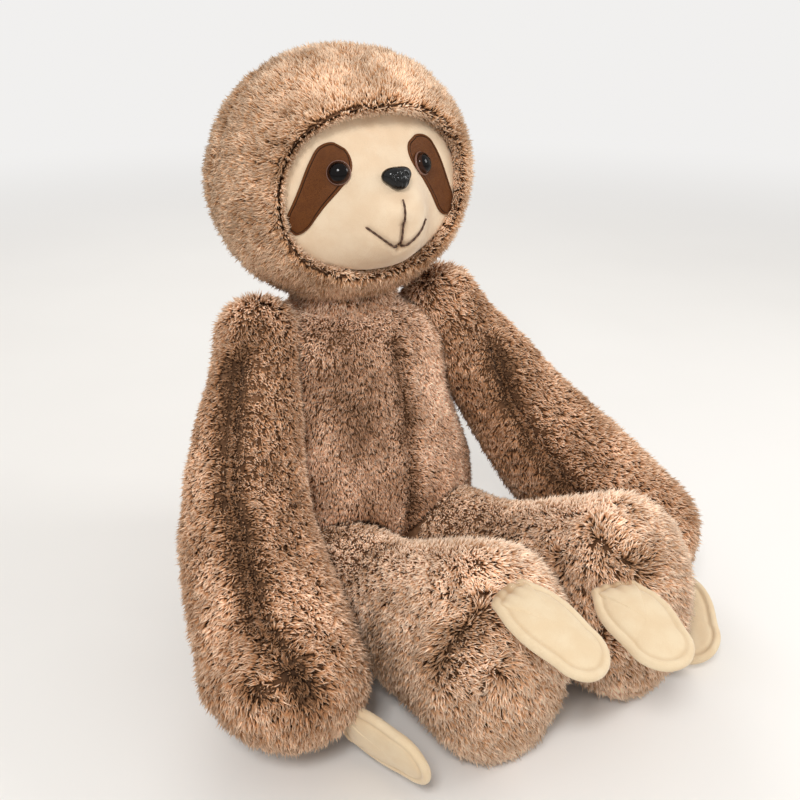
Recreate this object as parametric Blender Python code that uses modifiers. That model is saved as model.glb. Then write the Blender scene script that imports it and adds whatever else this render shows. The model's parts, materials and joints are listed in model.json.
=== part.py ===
"""A seated plush sloth, facing -Y, with its seat on Z = 0 and its own left at +X.

Each stuffed form is a fur cover with a stuffing core inside it. The head sits on a ball of
stuffing at the neck, the arms and the legs swing in round pockets in the torso, and each claw
is a flap that turns in a groove.
All sizes are in metres.
"""

import functools
import math

import bmesh
import bpy
from mathutils import Matrix, Vector
from mathutils.bvhtree import BVHTree

# Clearances and cuts
FIT_GAP = 0.0003
COVER_CLEARANCE = 0.0012
FLAT_DEPTH = 0.0005
CUT_OVERRUN = 0.05
MERGE_DISTANCE = 0.00001
NORMAL_STEP_SHARE = 0.002
PIVOT_MARK_SIZE = 0.05

# Fabrics
FUR_THICKNESS = 0.008
FACE_FABRIC_THICKNESS = 0.0025
CLAW_FABRIC_THICKNESS = 0.0015
PATCH_THICKNESS = 0.0012

# Torso
TORSO_HEIGHT = 0.353
TORSO_WIDTH = 0.272
TORSO_DEPTH = 0.214
TORSO_SEAT_HEIGHT = 0.060
TORSO_TOP_HEIGHT = 0.062
TORSO_LEAN = 0.020

# Neck
NECK_RADIUS = 0.054
NECK_HEIGHT = 0.350
NECK_CLEARANCE = 0.0009

# Head
HEAD_WIDTH = 0.280
HEAD_HEIGHT = 0.258
HEAD_DEPTH = 0.240
HEAD_SETBACK = 0.024
HEAD_STANDOFF = 0.003
HEAD_ROUND_SHARE = 0.47

# Face
FACE_WIDTH = 0.200
FACE_HEIGHT = 0.160
FACE_DROP = 0.004
FACE_RIM_AHEAD = 0.064
FACE_RECESS_DEPTH = 0.022
FACE_BULGE = 0.018
MUZZLE_BULGE = 0.060
MUZZLE_POWER = 1.6
MUZZLE_WIDTH = 0.100
MUZZLE_HEIGHT = 0.135
MUZZLE_DROP = 0.034

# Eyes
EYE_DIAMETER = 0.024
EYE_RIM_THICKNESS = 0.0025
EYE_DOME_HEIGHT = 0.0075
EYE_SPACING = 0.090
EYE_RISE = 0.025
SHANK_DIAMETER = 0.005
SHANK_LENGTH = 0.016
SHANK_CLEARANCE = 0.0004
WASHER_DIAMETER = 0.016
WASHER_THICKNESS = 0.0016
WASHER_SEAT_CLEARANCE = 0.0012

# Eye patches
PATCH_WIDTH = 0.036
PATCH_RUN_WIDTH = 0.0505
PATCH_DROP = 0.0815
PATCH_RISE = 0.025
PATCH_INNER_OFFSET = 0.005
PATCH_MARGIN = 0.003
PATCH_ROUND = 0.018
PATCH_BEND = 0.002
PATCH_END_SHARE = 0.9

# Nose
NOSE_WIDTH = 0.030
NOSE_HEIGHT = 0.023
NOSE_DEPTH = 0.013
NOSE_RISE = 0.019
NOSE_EDGE = 0.003
NOSE_CORNER_SHARE = 0.12
NOSE_ROUND_SHARE = 0.8

# Mouth
STITCH_DIAMETER = 0.0020
STITCH_CLEARANCE = 0.0008
MOUTH_DROP = -0.004
MOUTH_LENGTH = 0.050
MOUTH_HALF_WIDTH = 0.034
MOUTH_CURL = 0.024

# Arms
SHOULDER_SPAN = 0.226
SHOULDER_HEIGHT = 0.330
SHOULDER_AHEAD = 0.000
ARM_LENGTH = 0.451
SHOULDER_DIAMETER = 0.084
SHOULDER_OPENING_DIAMETER = 0.050
ELBOW_DIAMETER = 0.108
HAND_WIDTH = 0.144
HAND_DEPTH = 0.160
HAND_ROUND = 0.070
ARM_SAG = 0.040
ARM_SIDE_BOW = 0.018
ARM_SWING_CLEARANCE = 0.0045
ARM_ROOM_SHARE = 0.42
SHOULDER_CLEARANCE = 0.0016

# How far each arm swings forward from straight down, and out from the torso
ARM_DEGREES = {"right": (45.3, 14.0), "left": (39.9, 23.5)}

# How far each arm swings up, and how far its swing turns outwards from straight ahead
ARM_SWING_DEGREES = 95
ARM_TURN_DEGREES = {"right": 0, "left": 30}

# Legs
HIP_SPAN = 0.140
HIP_AHEAD = 0.085
HIP_DIAMETER = 0.136
ANKLE_DIAMETER = 0.126
LEG_LENGTH = 0.297
FOOT_WIDTH = 0.156
FOOT_HEIGHT = 0.208
FOOT_ROUND = 0.060
HIP_CLEARANCE = 0.0014
HIP_OPENING_DIAMETER = 0.080

# How far each leg turns to the left from straight ahead
LEG_DEGREES = {"right": 11.5, "left": 17.6}

# How far a leg swings up and down from where it lies
LEG_SWING_DEGREES = (-7, 5)

# Claws
CLAW_LENGTH = 0.112
CLAW_WIDTH = 0.070
CLAW_THICKNESS = 0.018
CLAW_BASE_THICKNESS = 0.014
CLAW_CORE_CLEARANCE = 0.0018
CLAW_STANDOFF = 0.0065
CLAW_CURVE = 0.008
CLAW_TIP_ROUND = 0.030
CLAW_OPENING_DIAMETER = 0.006
CLAW_SWING_CLEARANCE = 0.0006

# How far a claw flaps up and down
CLAW_SWING_DEGREES = {"hand": (-10, 20), "foot": (-30, 8)}

# Where each claw is sewn on its limb's end, which way it points, both as turn to the left and
# drop, and how far it rolls about its own length
CLAW_DEGREES = {
    "right_hand_claw": ((40, 38), (21, -5), -75),
    "left_hand_claw": ((6, 30), (-24, 16), 25),
    "right_foot_claw": ((-3, -42), (22, 18), 0),
    "left_foot_claw": ((-36, -24), (-8, 4), 0),
}

# Mesh fineness, in counts
TORSO_SIDES = 20
HEAD_SIDES = 24
LIMB_SIDES = 16
FACE_SIDES = 26
CLAW_SIDES = 12
EYE_DOME_RINGS = 3
NOSE_RINGS = 4
BALL_SEGMENTS = 22
NECK_SEGMENTS = 26
ROUND_SIDES = 20
CAP_RINGS = 4
TORSO_RINGS = 5
HEAD_RINGS = 1
LIMB_RINGS = 5
FACE_RINGS = 7
CLAW_RINGS = 3
PATCH_ROWS = 12
STITCH_POINTS = 9
ARM_ROOM_STEPS = 5
LEG_ROOM_STEPS = 3
CLAW_ROOM_STEPS = 3

# Each row: share of the length, share of the width, share of the depth
TORSO_SHARES = (
    (0.00, 0.99, 0.97),
    (0.25, 1.00, 1.00),
    (0.50, 0.94, 0.97),
    (0.75, 0.82, 0.86),
    (1.00, 0.78, 0.76),
)
CLAW_SHARES = ((0.00, 0.70, 0.78), (0.30, 0.94, 1.00), (0.60, 1.00, 0.86), (1.00, 0.88, 0.62))

# Each row: share of the length, then the weights of the sizes at the body, the middle and the end
ARM_SHARES = (
    (0.00, 1.00, 0.00, 0.00),
    (0.30, 0.00, 1.00, 0.00),
    (0.65, 0.00, 0.35, 0.65),
    (1.00, 0.00, 0.00, 1.00),
)
LEG_SHARES = (
    (0.00, 1.00, 0.00, 0.00),
    (0.35, 0.00, 1.00, 0.00),
    (0.65, 0.00, 0.60, 0.40),
    (1.00, 0.00, 0.00, 1.00),
)

# Each row: share of the patch's length, share of its width
PATCH_SHARES = ((0.00, 1.00), (0.30, 1.00), (0.65, 0.78), (1.00, 0.66))

# Powers: 2 is round, and more is squarer
ROUND_POWER = 2.0
FULL_POWER = 2.4
FACE_OUTLINE_POWER = 2.3
FACE_DOME_POWER = 0.4
MOUTH_CURVE_POWER = 1.5

MATERIALS = {
    "brown_fur": ((0.400, 0.262, 0.190), 0.95, 0.0),
    "fibre_stuffing": ((0.850, 0.840, 0.810), 1.00, 0.0),
    "cream_face_plush": ((0.860, 0.780, 0.680), 0.90, 0.0),
    "cream_claw_plush": ((0.850, 0.760, 0.600), 0.90, 0.0),
    "brown_leatherette": ((0.180, 0.070, 0.035), 0.55, 0.0),
    "brown_eye_plastic": ((0.110, 0.040, 0.015), 0.10, 0.0),
    "white_washer_plastic": ((0.850, 0.850, 0.830), 0.50, 0.0),
    "black_nose_plastic": ((0.010, 0.009, 0.009), 0.20, 0.0),
    "brown_thread": ((0.120, 0.050, 0.030), 0.80, 0.0),
}

UP = Vector((0, 0, 1))
AHEAD = Vector((0, -1, 0))
LEFT = Vector((1, 0, 0))
SIDES = {"right": -1, "left": 1}

head_centre = Vector((0, HEAD_SETBACK, TORSO_HEIGHT + HEAD_STANDOFF + HEAD_HEIGHT / 2))
neck_pivot = Vector((0, HEAD_SETBACK, NECK_HEIGHT))
face_centre = head_centre - UP * FACE_DROP


def clear_scene():
    """Remove every object of the open scene."""
    for old in list(bpy.data.objects):
        bpy.data.objects.remove(old, do_unlink=True)


def new_collection(name):
    """Return a new collection linked to the scene."""
    collection = bpy.data.collections.new(name)
    bpy.context.scene.collection.children.link(collection)
    return collection


def new_material(name):
    """Return the named finish as a Principled material."""
    colour, roughness, metallic = MATERIALS[name]
    material = bpy.data.materials.new(name)
    material.use_nodes = True
    shader = material.node_tree.nodes["Principled BSDF"]
    shader.inputs["Base Color"].default_value = (*colour, 1)
    shader.inputs["Roughness"].default_value = roughness
    shader.inputs["Metallic"].default_value = metallic
    material.diffuse_color = (*colour, 1)
    return material


def table_value(rows, share, column):
    """Read a smooth curve through one column of a table of shares."""
    last = len(rows) - 1
    low = max(k for k in range(last) if rows[k][0] <= share or k == 0)
    before, start, end, after = (rows[min(max(low + k, 0), last)] for k in (-1, 0, 1, 2))
    t = (share - start[0]) / (end[0] - start[0])
    slope_in = (end[column] - before[column]) / 2
    slope_out = (after[column] - start[column]) / 2
    return ((2 * t**3 - 3 * t**2 + 1) * start[column] + (t**3 - 2 * t**2 + t) * slope_in
            + (3 * t**2 - 2 * t**3) * end[column] + (t**3 - t**2) * slope_out)


def ring(centre, across, upright, sides, power):
    """Return one closed ring of points; power 2 is an ellipse, and more is squarer."""
    points = []
    for k in range(sides):
        angle = math.tau * (k + 0.5) / sides
        c, s = math.cos(angle), math.sin(angle)
        reach = (abs(c) ** power + abs(s) ** power) ** (-1 / power)
        points.append(centre + across * c * reach + upright * s * reach)
    return points


def rounded_stations(length, start_round, end_round, rings, power):
    """Return (distance, size share) for each ring of a form with two rounded ends."""
    def share(part):
        return (1 - (1 - part) ** power) ** (1 / power)

    parts = [1 - math.cos(math.pi / 2 * k / CAP_RINGS) for k in range(1, CAP_RINGS)]
    start = [(start_round * part, share(part)) for part in parts]
    end = [(length - end_round * part, share(part)) for part in reversed(parts)]
    shaft = length - start_round - end_round
    middle = [(start_round + shaft * k / rings, 1) for k in range(rings + 1)]
    return start + middle + end


def mesh_object(name, bm, collection, smooth=True):
    """Turn a bmesh into an object with its faces pointing out."""
    bmesh.ops.recalc_face_normals(bm, faces=bm.faces)
    mesh = bpy.data.meshes.new(name)
    bm.to_mesh(mesh)
    bm.free()
    if smooth:
        mesh.shade_smooth()
    obj = bpy.data.objects.new(name, mesh)
    collection.objects.link(obj)
    return obj


def loft(rings, start_pole, end_pole):
    """Bridge closed rings of points, and close each end on its pole."""
    bm = bmesh.new()
    loops = [[bm.verts.new(point) for point in points] for points in rings]
    for lower, upper in zip(loops, loops[1:]):
        for k in range(len(lower)):
            n = (k + 1) % len(lower)
            bm.faces.new((lower[k], lower[n], upper[n], upper[k]))
    for pole, loop in ((start_pole, loops[0]), (end_pole, loops[-1])):
        tip = bm.verts.new(pole)
        for k in range(len(loop)):
            bm.faces.new((tip, loop[k], loop[(k + 1) % len(loop)]))
    bmesh.ops.recalc_face_normals(bm, faces=bm.faces)
    return bm


def shrink(bm, distance):
    """Move a surface inwards by an even distance."""
    bm.normal_update()
    moves = [(v, v.normal * v.calc_shell_factor() * distance) for v in bm.verts]
    for vertex, move in moves:
        vertex.co -= move


class Form:
    """A stuffed form: sections along a path, swelling and tapering, with rounded ends."""

    def __init__(self, path, length, sizes, rounds, rings, sides, power):
        """Take the path, its length, the sizes along it and the fineness of the form.

        sizes turns a share of the shaft's length into half the width and half the depth there.
        rounds are the lengths of the two rounded ends.
        """
        self.path = path
        self.length = length
        self.sizes = sizes
        self.rounds = rounds
        self.rings = rings
        self.sides = sides
        self.power = power

    def half_sizes(self, distance):
        """Return half the width and half the depth at a distance along the path."""
        start_round, end_round = self.rounds
        shaft = self.length - start_round - end_round
        return self.sizes(min(max((distance - start_round) / shaft, 0), 1))

    def surface(self, inset=0):
        """Return the closed outer surface, or the one inside it by a distance, as a bmesh."""
        rings = []
        start_round, end_round = (length - inset for length in self.rounds)
        stations = rounded_stations(self.length - 2 * inset, start_round, end_round, self.rings,
                                    self.power)
        for distance, size_share in stations:
            centre, across, upright = self.path(distance + inset)
            half_width, half_depth = self.half_sizes(distance + inset)
            rings.append(ring(centre, across * (half_width - inset) * size_share,
                              upright * (half_depth - inset) * size_share, self.sides, self.power))
        return loft(rings, self.path(inset)[0], self.path(self.length - inset)[0])

    def end_point(self, direction):
        """Return the point of the rounded end that stands out furthest in a direction."""
        end_round = self.rounds[1]
        centre, across, upright = self.path(self.length - end_round)
        along = across.cross(upright).normalized()
        if along.dot(self.path(self.length)[0] - centre) < 0:
            along = -along
        half_width, half_depth = self.half_sizes(self.length - end_round)
        parts = [(across, half_width), (upright, half_depth), (along, end_round)]
        reach = math.sqrt(sum((axis.dot(direction) * half) ** 2 for axis, half in parts))
        return centre + sum((axis * axis.dot(direction) * half**2 / reach for axis, half in parts),
                            Vector())

    def cover(self, name, collection, thickness):
        """Make the cover: the outer surface with an even wall inside it."""
        obj = mesh_object(name, self.surface(), collection)
        add_wall(obj, thickness)
        return obj

    def core(self, name, collection, thickness, clearance=COVER_CLEARANCE):
        """Make the stuffing that fills the cover."""
        return mesh_object(name, self.surface(thickness + clearance), collection)


def add_wall(obj, thickness):
    """Give a surface an even wall on its inner side, or on its outer side if it is negative."""
    wall = obj.modifiers.new("wall", "SOLIDIFY")
    wall.thickness = thickness
    wall.offset = -1
    wall.use_even_offset = True


def cut(obj, cutter, operation="DIFFERENCE"):
    """Cut an object with a cutter, or with another operation join the two or keep what they share."""
    boolean = obj.modifiers.new(cutter.name, "BOOLEAN")
    boolean.operation = operation
    boolean.solver = "EXACT"
    boolean.object = cutter


def hide_cutter(obj):
    """Mark an object as a cutter, and return it."""
    obj.hide_render = True
    obj.display_type = "WIRE"
    return obj


def ball(name, collection, centre, radius, segments=BALL_SEGMENTS):
    """Make a ball."""
    bm = bmesh.new()
    bmesh.ops.create_uvsphere(bm, u_segments=segments, v_segments=segments // 2,
                              radius=radius, matrix=Matrix.Translation(centre))
    return mesh_object(name, bm, collection)


def rod(name, collection, start, end, radius, end_radius=None):
    """Make a round rod between two points, which may widen or narrow to its end."""
    axis = end - start
    turn = UP.rotation_difference(axis).to_matrix().to_4x4()
    bm = bmesh.new()
    bmesh.ops.create_cone(bm, cap_ends=True, segments=ROUND_SIDES, radius1=radius,
                          radius2=end_radius or radius, depth=axis.length,
                          matrix=Matrix.Translation((start + end) / 2) @ turn)
    return mesh_object(name, bm, collection)


def block(name, collection, low, high):
    """Make a box between two corners."""
    bm = bmesh.new()
    bmesh.ops.create_cube(bm, size=1)
    size = high - low
    bmesh.ops.scale(bm, vec=size, verts=bm.verts)
    bmesh.ops.translate(bm, vec=(low + high) / 2, verts=bm.verts)
    return mesh_object(name, bm, collection, smooth=False)


def straight_path(start, along, across, upright):
    """Return a path from a point along a direction."""
    def path(distance):
        return start + along * distance, across, upright

    return path


def table_sizes(width, depth, rows):
    """Return the sizes of a form that follows a table of shares of its width and depth."""
    def sizes(share):
        return width / 2 * table_value(rows, share, 1), depth / 2 * table_value(rows, share, 2)

    return sizes


def limb_sizes(widths, depths, rows):
    """Return the sizes of a limb from those at its body, middle and end, weighted by a table."""
    def sizes(share):
        weights = [table_value(rows, share, column) for column in (1, 2, 3)]
        return (sum(weight * width for weight, width in zip(weights, widths)) / 2,
                sum(weight * depth for weight, depth in zip(weights, depths)) / 2)

    return sizes


def torso_form():
    """Return the pear-shaped torso, which leans back towards its top."""
    def path(distance):
        lean = TORSO_LEAN * (distance / TORSO_HEIGHT) ** 2
        return Vector((0, lean, distance - FLAT_DEPTH)), LEFT, -AHEAD

    return Form(path, TORSO_HEIGHT + FLAT_DEPTH,
                table_sizes(TORSO_WIDTH, TORSO_DEPTH, TORSO_SHARES),
                (TORSO_SEAT_HEIGHT, TORSO_TOP_HEIGHT), TORSO_RINGS, TORSO_SIDES, FULL_POWER)


def head_form():
    """Return the round head."""
    path = straight_path(head_centre - UP * HEAD_HEIGHT / 2, UP, LEFT, -AHEAD)
    end_round = HEAD_HEIGHT * HEAD_ROUND_SHARE
    return Form(path, HEAD_HEIGHT, lambda share: (HEAD_WIDTH / 2, HEAD_DEPTH / 2),
                (end_round, end_round), HEAD_RINGS, HEAD_SIDES, ROUND_POWER)


def shoulder(side):
    """Return the point on the shoulder's axis at the middle of the arm."""
    return Vector((SIDES[side] * SHOULDER_SPAN / 2, -SHOULDER_AHEAD, SHOULDER_HEIGHT))


def arm_form(side):
    """Return one arm, from its round shoulder to its hand, with its elbow low and held out."""
    forward, splay = (math.radians(degrees) for degrees in ARM_DEGREES[side])
    swing = -UP * math.cos(forward) + AHEAD * math.sin(forward)
    outwards = LEFT * SIDES[side]
    along = swing * math.cos(splay) + outwards * math.sin(splay)
    across = outwards * math.cos(splay) - swing * math.sin(splay)
    upright = AHEAD * math.cos(forward) + UP * math.sin(forward)
    start = shoulder(side) - along * SHOULDER_DIAMETER / 2

    def path(distance):
        bow = (across * ARM_SIDE_BOW - upright * ARM_SAG) * math.sin(math.pi * distance / ARM_LENGTH) ** 2
        return start + along * distance + bow, across, upright

    return Form(path, ARM_LENGTH,
                limb_sizes((SHOULDER_DIAMETER, ELBOW_DIAMETER, HAND_WIDTH),
                           (SHOULDER_DIAMETER, ELBOW_DIAMETER, HAND_DEPTH), ARM_SHARES),
                (SHOULDER_DIAMETER / 2, HAND_ROUND), LIMB_RINGS, LIMB_SIDES, ROUND_POWER)


def swing_axis(side):
    """Return the direction that an arm swings about, pointing out of the torso."""
    turn = math.radians(ARM_TURN_DEGREES[side])
    return LEFT * SIDES[side] * math.cos(turn) - AHEAD * math.sin(turn)


def limb_rooms(name, centre, ahead, radii, axis, degrees, steps, cutters):
    """Make the cutters that leave room for a limb through its swing.

    The limb runs from the centre of its ball end to a point ahead of it. radii are those of the
    socket, and of the room at the centre and at the point. degrees are the limits of the swing.
    """
    socket_radius, near_radius, far_radius = radii
    rooms = [hide_cutter(ball(f"{name}_socket", cutters, centre, socket_radius))]
    low, high = degrees
    for k in range(steps):
        angle = math.radians(low + (high - low) * k / (steps - 1))
        end = centre + Matrix.Rotation(angle, 3, axis) @ (ahead - centre)
        rooms.append(hide_cutter(rod(f"{name}_room_{k}", cutters, centre, end, near_radius,
                                     far_radius)))
    return rooms


def arm_rooms(side, cutters):
    """Make the cutters that leave room for an arm from where it lies to its highest angle."""
    radius = SHOULDER_DIAMETER / 2 + SHOULDER_CLEARANCE
    form = arm_form(side)
    reach = ARM_LENGTH * ARM_ROOM_SHARE
    radii = (radius, radius, max(form.half_sizes(reach)) + ARM_SWING_CLEARANCE)
    return limb_rooms(f"{side}_arm", shoulder(side), form.path(reach)[0], radii, swing_axis(side),
                      (-ARM_SWING_DEGREES * SIDES[side], 0), ARM_ROOM_STEPS, cutters)


def leg_rooms(side, cutters):
    """Make the cutters that leave room for a leg from its highest angle to its lowest."""
    form = leg_form(side)
    radius = HIP_DIAMETER / 2 + HIP_CLEARANCE
    return limb_rooms(f"{side}_leg", hip(side), form.path(LEG_LENGTH)[0], (radius,) * 3, LEFT,
                      LEG_SWING_DEGREES, LEG_ROOM_STEPS, cutters)


def make_torso(seams, parts, cutters):
    """Make the torso's cover and its core, with the pockets that the other forms sit in."""
    form = torso_form()
    cover = mesh_object("torso_cover", form.surface(), parts)
    hollow = hide_cutter(mesh_object("torso_hollow", form.surface(FUR_THICKNESS), cutters))
    core = form.core("torso_stuffing", parts, FUR_THICKNESS)
    cut(cover, hollow)
    for seam in seams:
        cut(cover, seam)
        cut(core, seam)
    return cover, core


def hip(side):
    """Return the middle of the ball end of one leg."""
    height = HIP_DIAMETER / 2 - FLAT_DEPTH
    return Vector((SIDES[side] * HIP_SPAN / 2, -HIP_AHEAD, height))


def leg_form(side):
    """Return one leg, from its ball end at the hip to the blunt front of its foot."""
    rise = math.asin((FOOT_HEIGHT - HIP_DIAMETER) / 2 / (LEG_LENGTH - FOOT_ROUND))
    turn = math.radians(LEG_DEGREES[side])
    level = AHEAD * math.cos(turn) + LEFT * math.sin(turn)
    along = level * math.cos(rise) + UP * math.sin(rise)
    across = AHEAD * math.sin(turn) - LEFT * math.cos(turn)
    upright = UP * math.cos(rise) - level * math.sin(rise)
    start = hip(side) - along * HIP_DIAMETER / 2
    return Form(straight_path(start, along, across, upright), LEG_LENGTH + HIP_DIAMETER / 2,
                limb_sizes((HIP_DIAMETER, ANKLE_DIAMETER, FOOT_WIDTH),
                           (HIP_DIAMETER, ANKLE_DIAMETER, FOOT_HEIGHT), LEG_SHARES),
                (HIP_DIAMETER / 2, FOOT_ROUND), LIMB_RINGS, LIMB_SIDES, ROUND_POWER)


def face_ahead(x, z):
    """Return how far the face panel stands ahead of the head's middle at a place on it."""
    across = abs(x / (FACE_WIDTH / 2))
    rise = abs((z - face_centre.z) / (FACE_HEIGHT / 2))
    power = FACE_OUTLINE_POWER
    out = min((across**power + rise**power) ** (2 / power), 1)
    dome = FACE_BULGE * (1 - out) ** FACE_DOME_POWER
    muzzle_z = face_centre.z - MUZZLE_DROP
    spread = (x / (MUZZLE_WIDTH / 2)) ** 2 + ((z - muzzle_z) / (MUZZLE_HEIGHT / 2)) ** 2
    return FACE_RIM_AHEAD + dome + MUZZLE_BULGE * math.exp(-spread**MUZZLE_POWER) * math.sqrt(1 - out)


def face_normal(x, z):
    """Return the outward direction of the face panel at a place on it."""
    step = FACE_WIDTH * NORMAL_STEP_SHARE
    slope_x = (face_ahead(x + step, z) - face_ahead(x - step, z)) / (2 * step)
    slope_z = (face_ahead(x, z + step) - face_ahead(x, z - step)) / (2 * step)
    return Vector((-slope_x, -1, -slope_z)).normalized()


@functools.cache
def face_tree():
    """Return the facets of the face panel, for finding points that lie on them."""
    bm = face_surface()
    tree = BVHTree.FromBMesh(bm)
    bm.free()
    return tree


def face_point(x, z, lift=0):
    """Return a point on the facets of the face panel, lifted off them by a distance."""
    start = Vector((x, head_centre.y - HEAD_DEPTH, z))
    return face_tree().ray_cast(start, -AHEAD)[0] + face_normal(x, z) * lift


def face_outline(grow):
    """Return the outline of the face panel, grown by a distance, around (0, 0)."""
    return ring(Vector(), LEFT * (FACE_WIDTH / 2 + grow), UP * (FACE_HEIGHT / 2 + grow),
                FACE_SIDES, FACE_OUTLINE_POWER)


def face_surface():
    """Return the open face panel: its dome and the edge that turns back into the head."""
    bm = bmesh.new()
    outline = face_outline(0)
    loops = []
    for k in range(1, FACE_RINGS + 1):
        out = math.sin(math.pi / 2 * k / FACE_RINGS)
        points = [(face_centre.x + p.x * out, face_centre.z + p.z * out) for p in outline]
        loops.append([bm.verts.new(Vector((x, head_centre.y - face_ahead(x, z), z)))
                      for x, z in points])
    back = head_centre.y - (FACE_RIM_AHEAD - FACE_RECESS_DEPTH) - FIT_GAP
    loops.append([bm.verts.new(Vector((v.co.x, back, v.co.z))) for v in loops[-1]])
    ahead = face_ahead(face_centre.x, face_centre.z)
    middle = bm.verts.new(Vector((face_centre.x, head_centre.y - ahead, face_centre.z)))
    for k in range(FACE_SIDES):
        bm.faces.new((middle, loops[0][k], loops[0][(k + 1) % FACE_SIDES]))
    for inner, outer in zip(loops, loops[1:]):
        for k in range(FACE_SIDES):
            n = (k + 1) % FACE_SIDES
            bm.faces.new((inner[k], outer[k], outer[n], inner[n]))
    bmesh.ops.triangulate(bm, faces=bm.faces, quad_method="FIXED")
    bm.normal_update()
    return bm


def make_face(parts, cutters):
    """Make the face panel, the stuffing behind it and the cutter for its recess."""
    panel_mesh = bpy.data.meshes.new("face_panel")
    bm = face_surface()
    bm.to_mesh(panel_mesh)
    shrink(bm, FACE_FABRIC_THICKNESS + COVER_CLEARANCE)
    edges = [e for e in bm.edges if e.is_boundary]
    bmesh.ops.contextual_create(bm, geom=edges)
    stuffing = mesh_object("face_stuffing", bm, parts)
    panel_mesh.shade_smooth()
    panel = bpy.data.objects.new("face_panel", panel_mesh)
    parts.objects.link(panel)
    add_wall(panel, FACE_FABRIC_THICKNESS)

    back = head_centre.y - (FACE_RIM_AHEAD - FACE_RECESS_DEPTH)
    outline = [(p.x, face_centre.z + p.z) for p in face_outline(FIT_GAP)]
    return panel, stuffing, prism("face_recess", outline, back, cutters)


def prism(name, outline, back, cutters):
    """Make a cutter from an outline of (x, z) points, from a depth to well ahead of the face."""
    front = head_centre.y - HEAD_DEPTH / 2 - CUT_OVERRUN
    loops = [[Vector((x, y, z)) for x, z in outline] for y in (back, front)]
    x, z = (sum(point[axis] for point in outline) / len(outline) for axis in (0, 1))
    bm = loft(loops, Vector((x, back, z)), Vector((x, front, z)))
    return hide_cutter(mesh_object(name, bm, cutters, smooth=False))


def turned_piece(name, collection, profile):
    """Make a round piece from a profile of (radius, height) points, top to bottom."""
    mesh = bpy.data.meshes.new(name)
    mesh.from_pydata([(r, 0, h) for r, h in profile],
                     [(k, k + 1) for k in range(len(profile) - 1)], [])
    obj = bpy.data.objects.new(name, mesh)
    collection.objects.link(obj)
    screw = obj.modifiers.new("turn", "SCREW")
    screw.axis = "Z"
    screw.angle = math.tau
    screw.steps = ROUND_SIDES
    screw.render_steps = ROUND_SIDES
    screw.use_merge_vertices = True
    screw.merge_threshold = MERGE_DISTANCE
    screw.use_smooth_shade = True
    return obj


def seat_depth(x, z, radius, sign):
    """Return how far the face leaves the flat plane of a round seat within its radius.

    With sign 1 it is the highest point above the plane, and with -1 the lowest below it.
    """
    middle, normal = face_point(x, z), face_normal(x, z)
    reach = 0
    for k in range(ROUND_SIDES):
        angle = math.tau * k / ROUND_SIDES
        for distance in (radius / 2, radius):
            point = face_point(x + distance * math.cos(angle), z + distance * math.sin(angle))
            reach = max(reach, (point - middle).dot(normal) * sign)
    return reach


def place_on_face(obj, x, z, lift):
    """Stand a piece on the face panel, with its own Z along the outward direction."""
    obj.location = face_point(x, z, lift)
    obj.rotation_euler = UP.rotation_difference(face_normal(x, z)).to_euler()


def fit_button(name, x, z, lift, radius, parts, cutters):
    """Return the washer and the cutters for a button whose shank passes through the face."""
    normal = face_normal(x, z)
    washer_radius = WASHER_DIAMETER / 2
    sink = FACE_FABRIC_THICKNESS + seat_depth(x, z, washer_radius, -1) + WASHER_SEAT_CLEARANCE
    hole_radius = SHANK_DIAMETER / 2 + SHANK_CLEARANCE
    washer = turned_piece(f"{name}_washer", parts, [
        (hole_radius, WASHER_THICKNESS / 2), (washer_radius, WASHER_THICKNESS / 2),
        (washer_radius, -WASHER_THICKNESS / 2), (hole_radius, -WASHER_THICKNESS / 2),
        (hole_radius, WASHER_THICKNESS / 2)])
    place_on_face(washer, x, z, -sink - WASHER_THICKNESS / 2)
    surface = face_point(x, z)
    top = surface + normal * (lift + radius)
    shank_end = surface + normal * (lift - SHANK_LENGTH - FIT_GAP)
    washer_end = surface - normal * (sink + WASHER_THICKNESS + FIT_GAP)
    hole = hide_cutter(rod(f"{name}_hole", cutters, shank_end, top, hole_radius))
    pocket = hide_cutter(rod(f"{name}_washer_pocket", cutters, washer_end, top,
                             washer_radius + FIT_GAP))
    return washer, hole, pocket


def patch_edge_point(side, along, sign):
    """Return (x, z) on one long edge of an eye patch, at a share of its length."""
    x = EYE_SPACING / 2 - PATCH_INNER_OFFSET + PATCH_RUN_WIDTH * along
    z = face_centre.z + EYE_RISE + PATCH_RISE - PATCH_DROP * along
    run = math.hypot(PATCH_RUN_WIDTH, PATCH_DROP)
    half_width = PATCH_WIDTH / 2 * table_value(PATCH_SHARES, along, 1)
    ends = PATCH_ROUND / run
    near_end = min(along, 1 - along)
    if near_end < ends:
        half_width *= math.sqrt(1 - (1 - near_end / ends) ** 2 * PATCH_END_SHARE)
    offset = half_width * sign + PATCH_BEND * math.sin(math.pi * along)
    return SIDES[side] * (x + offset * PATCH_DROP / run), z + offset * PATCH_RUN_WIDTH / run


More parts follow.
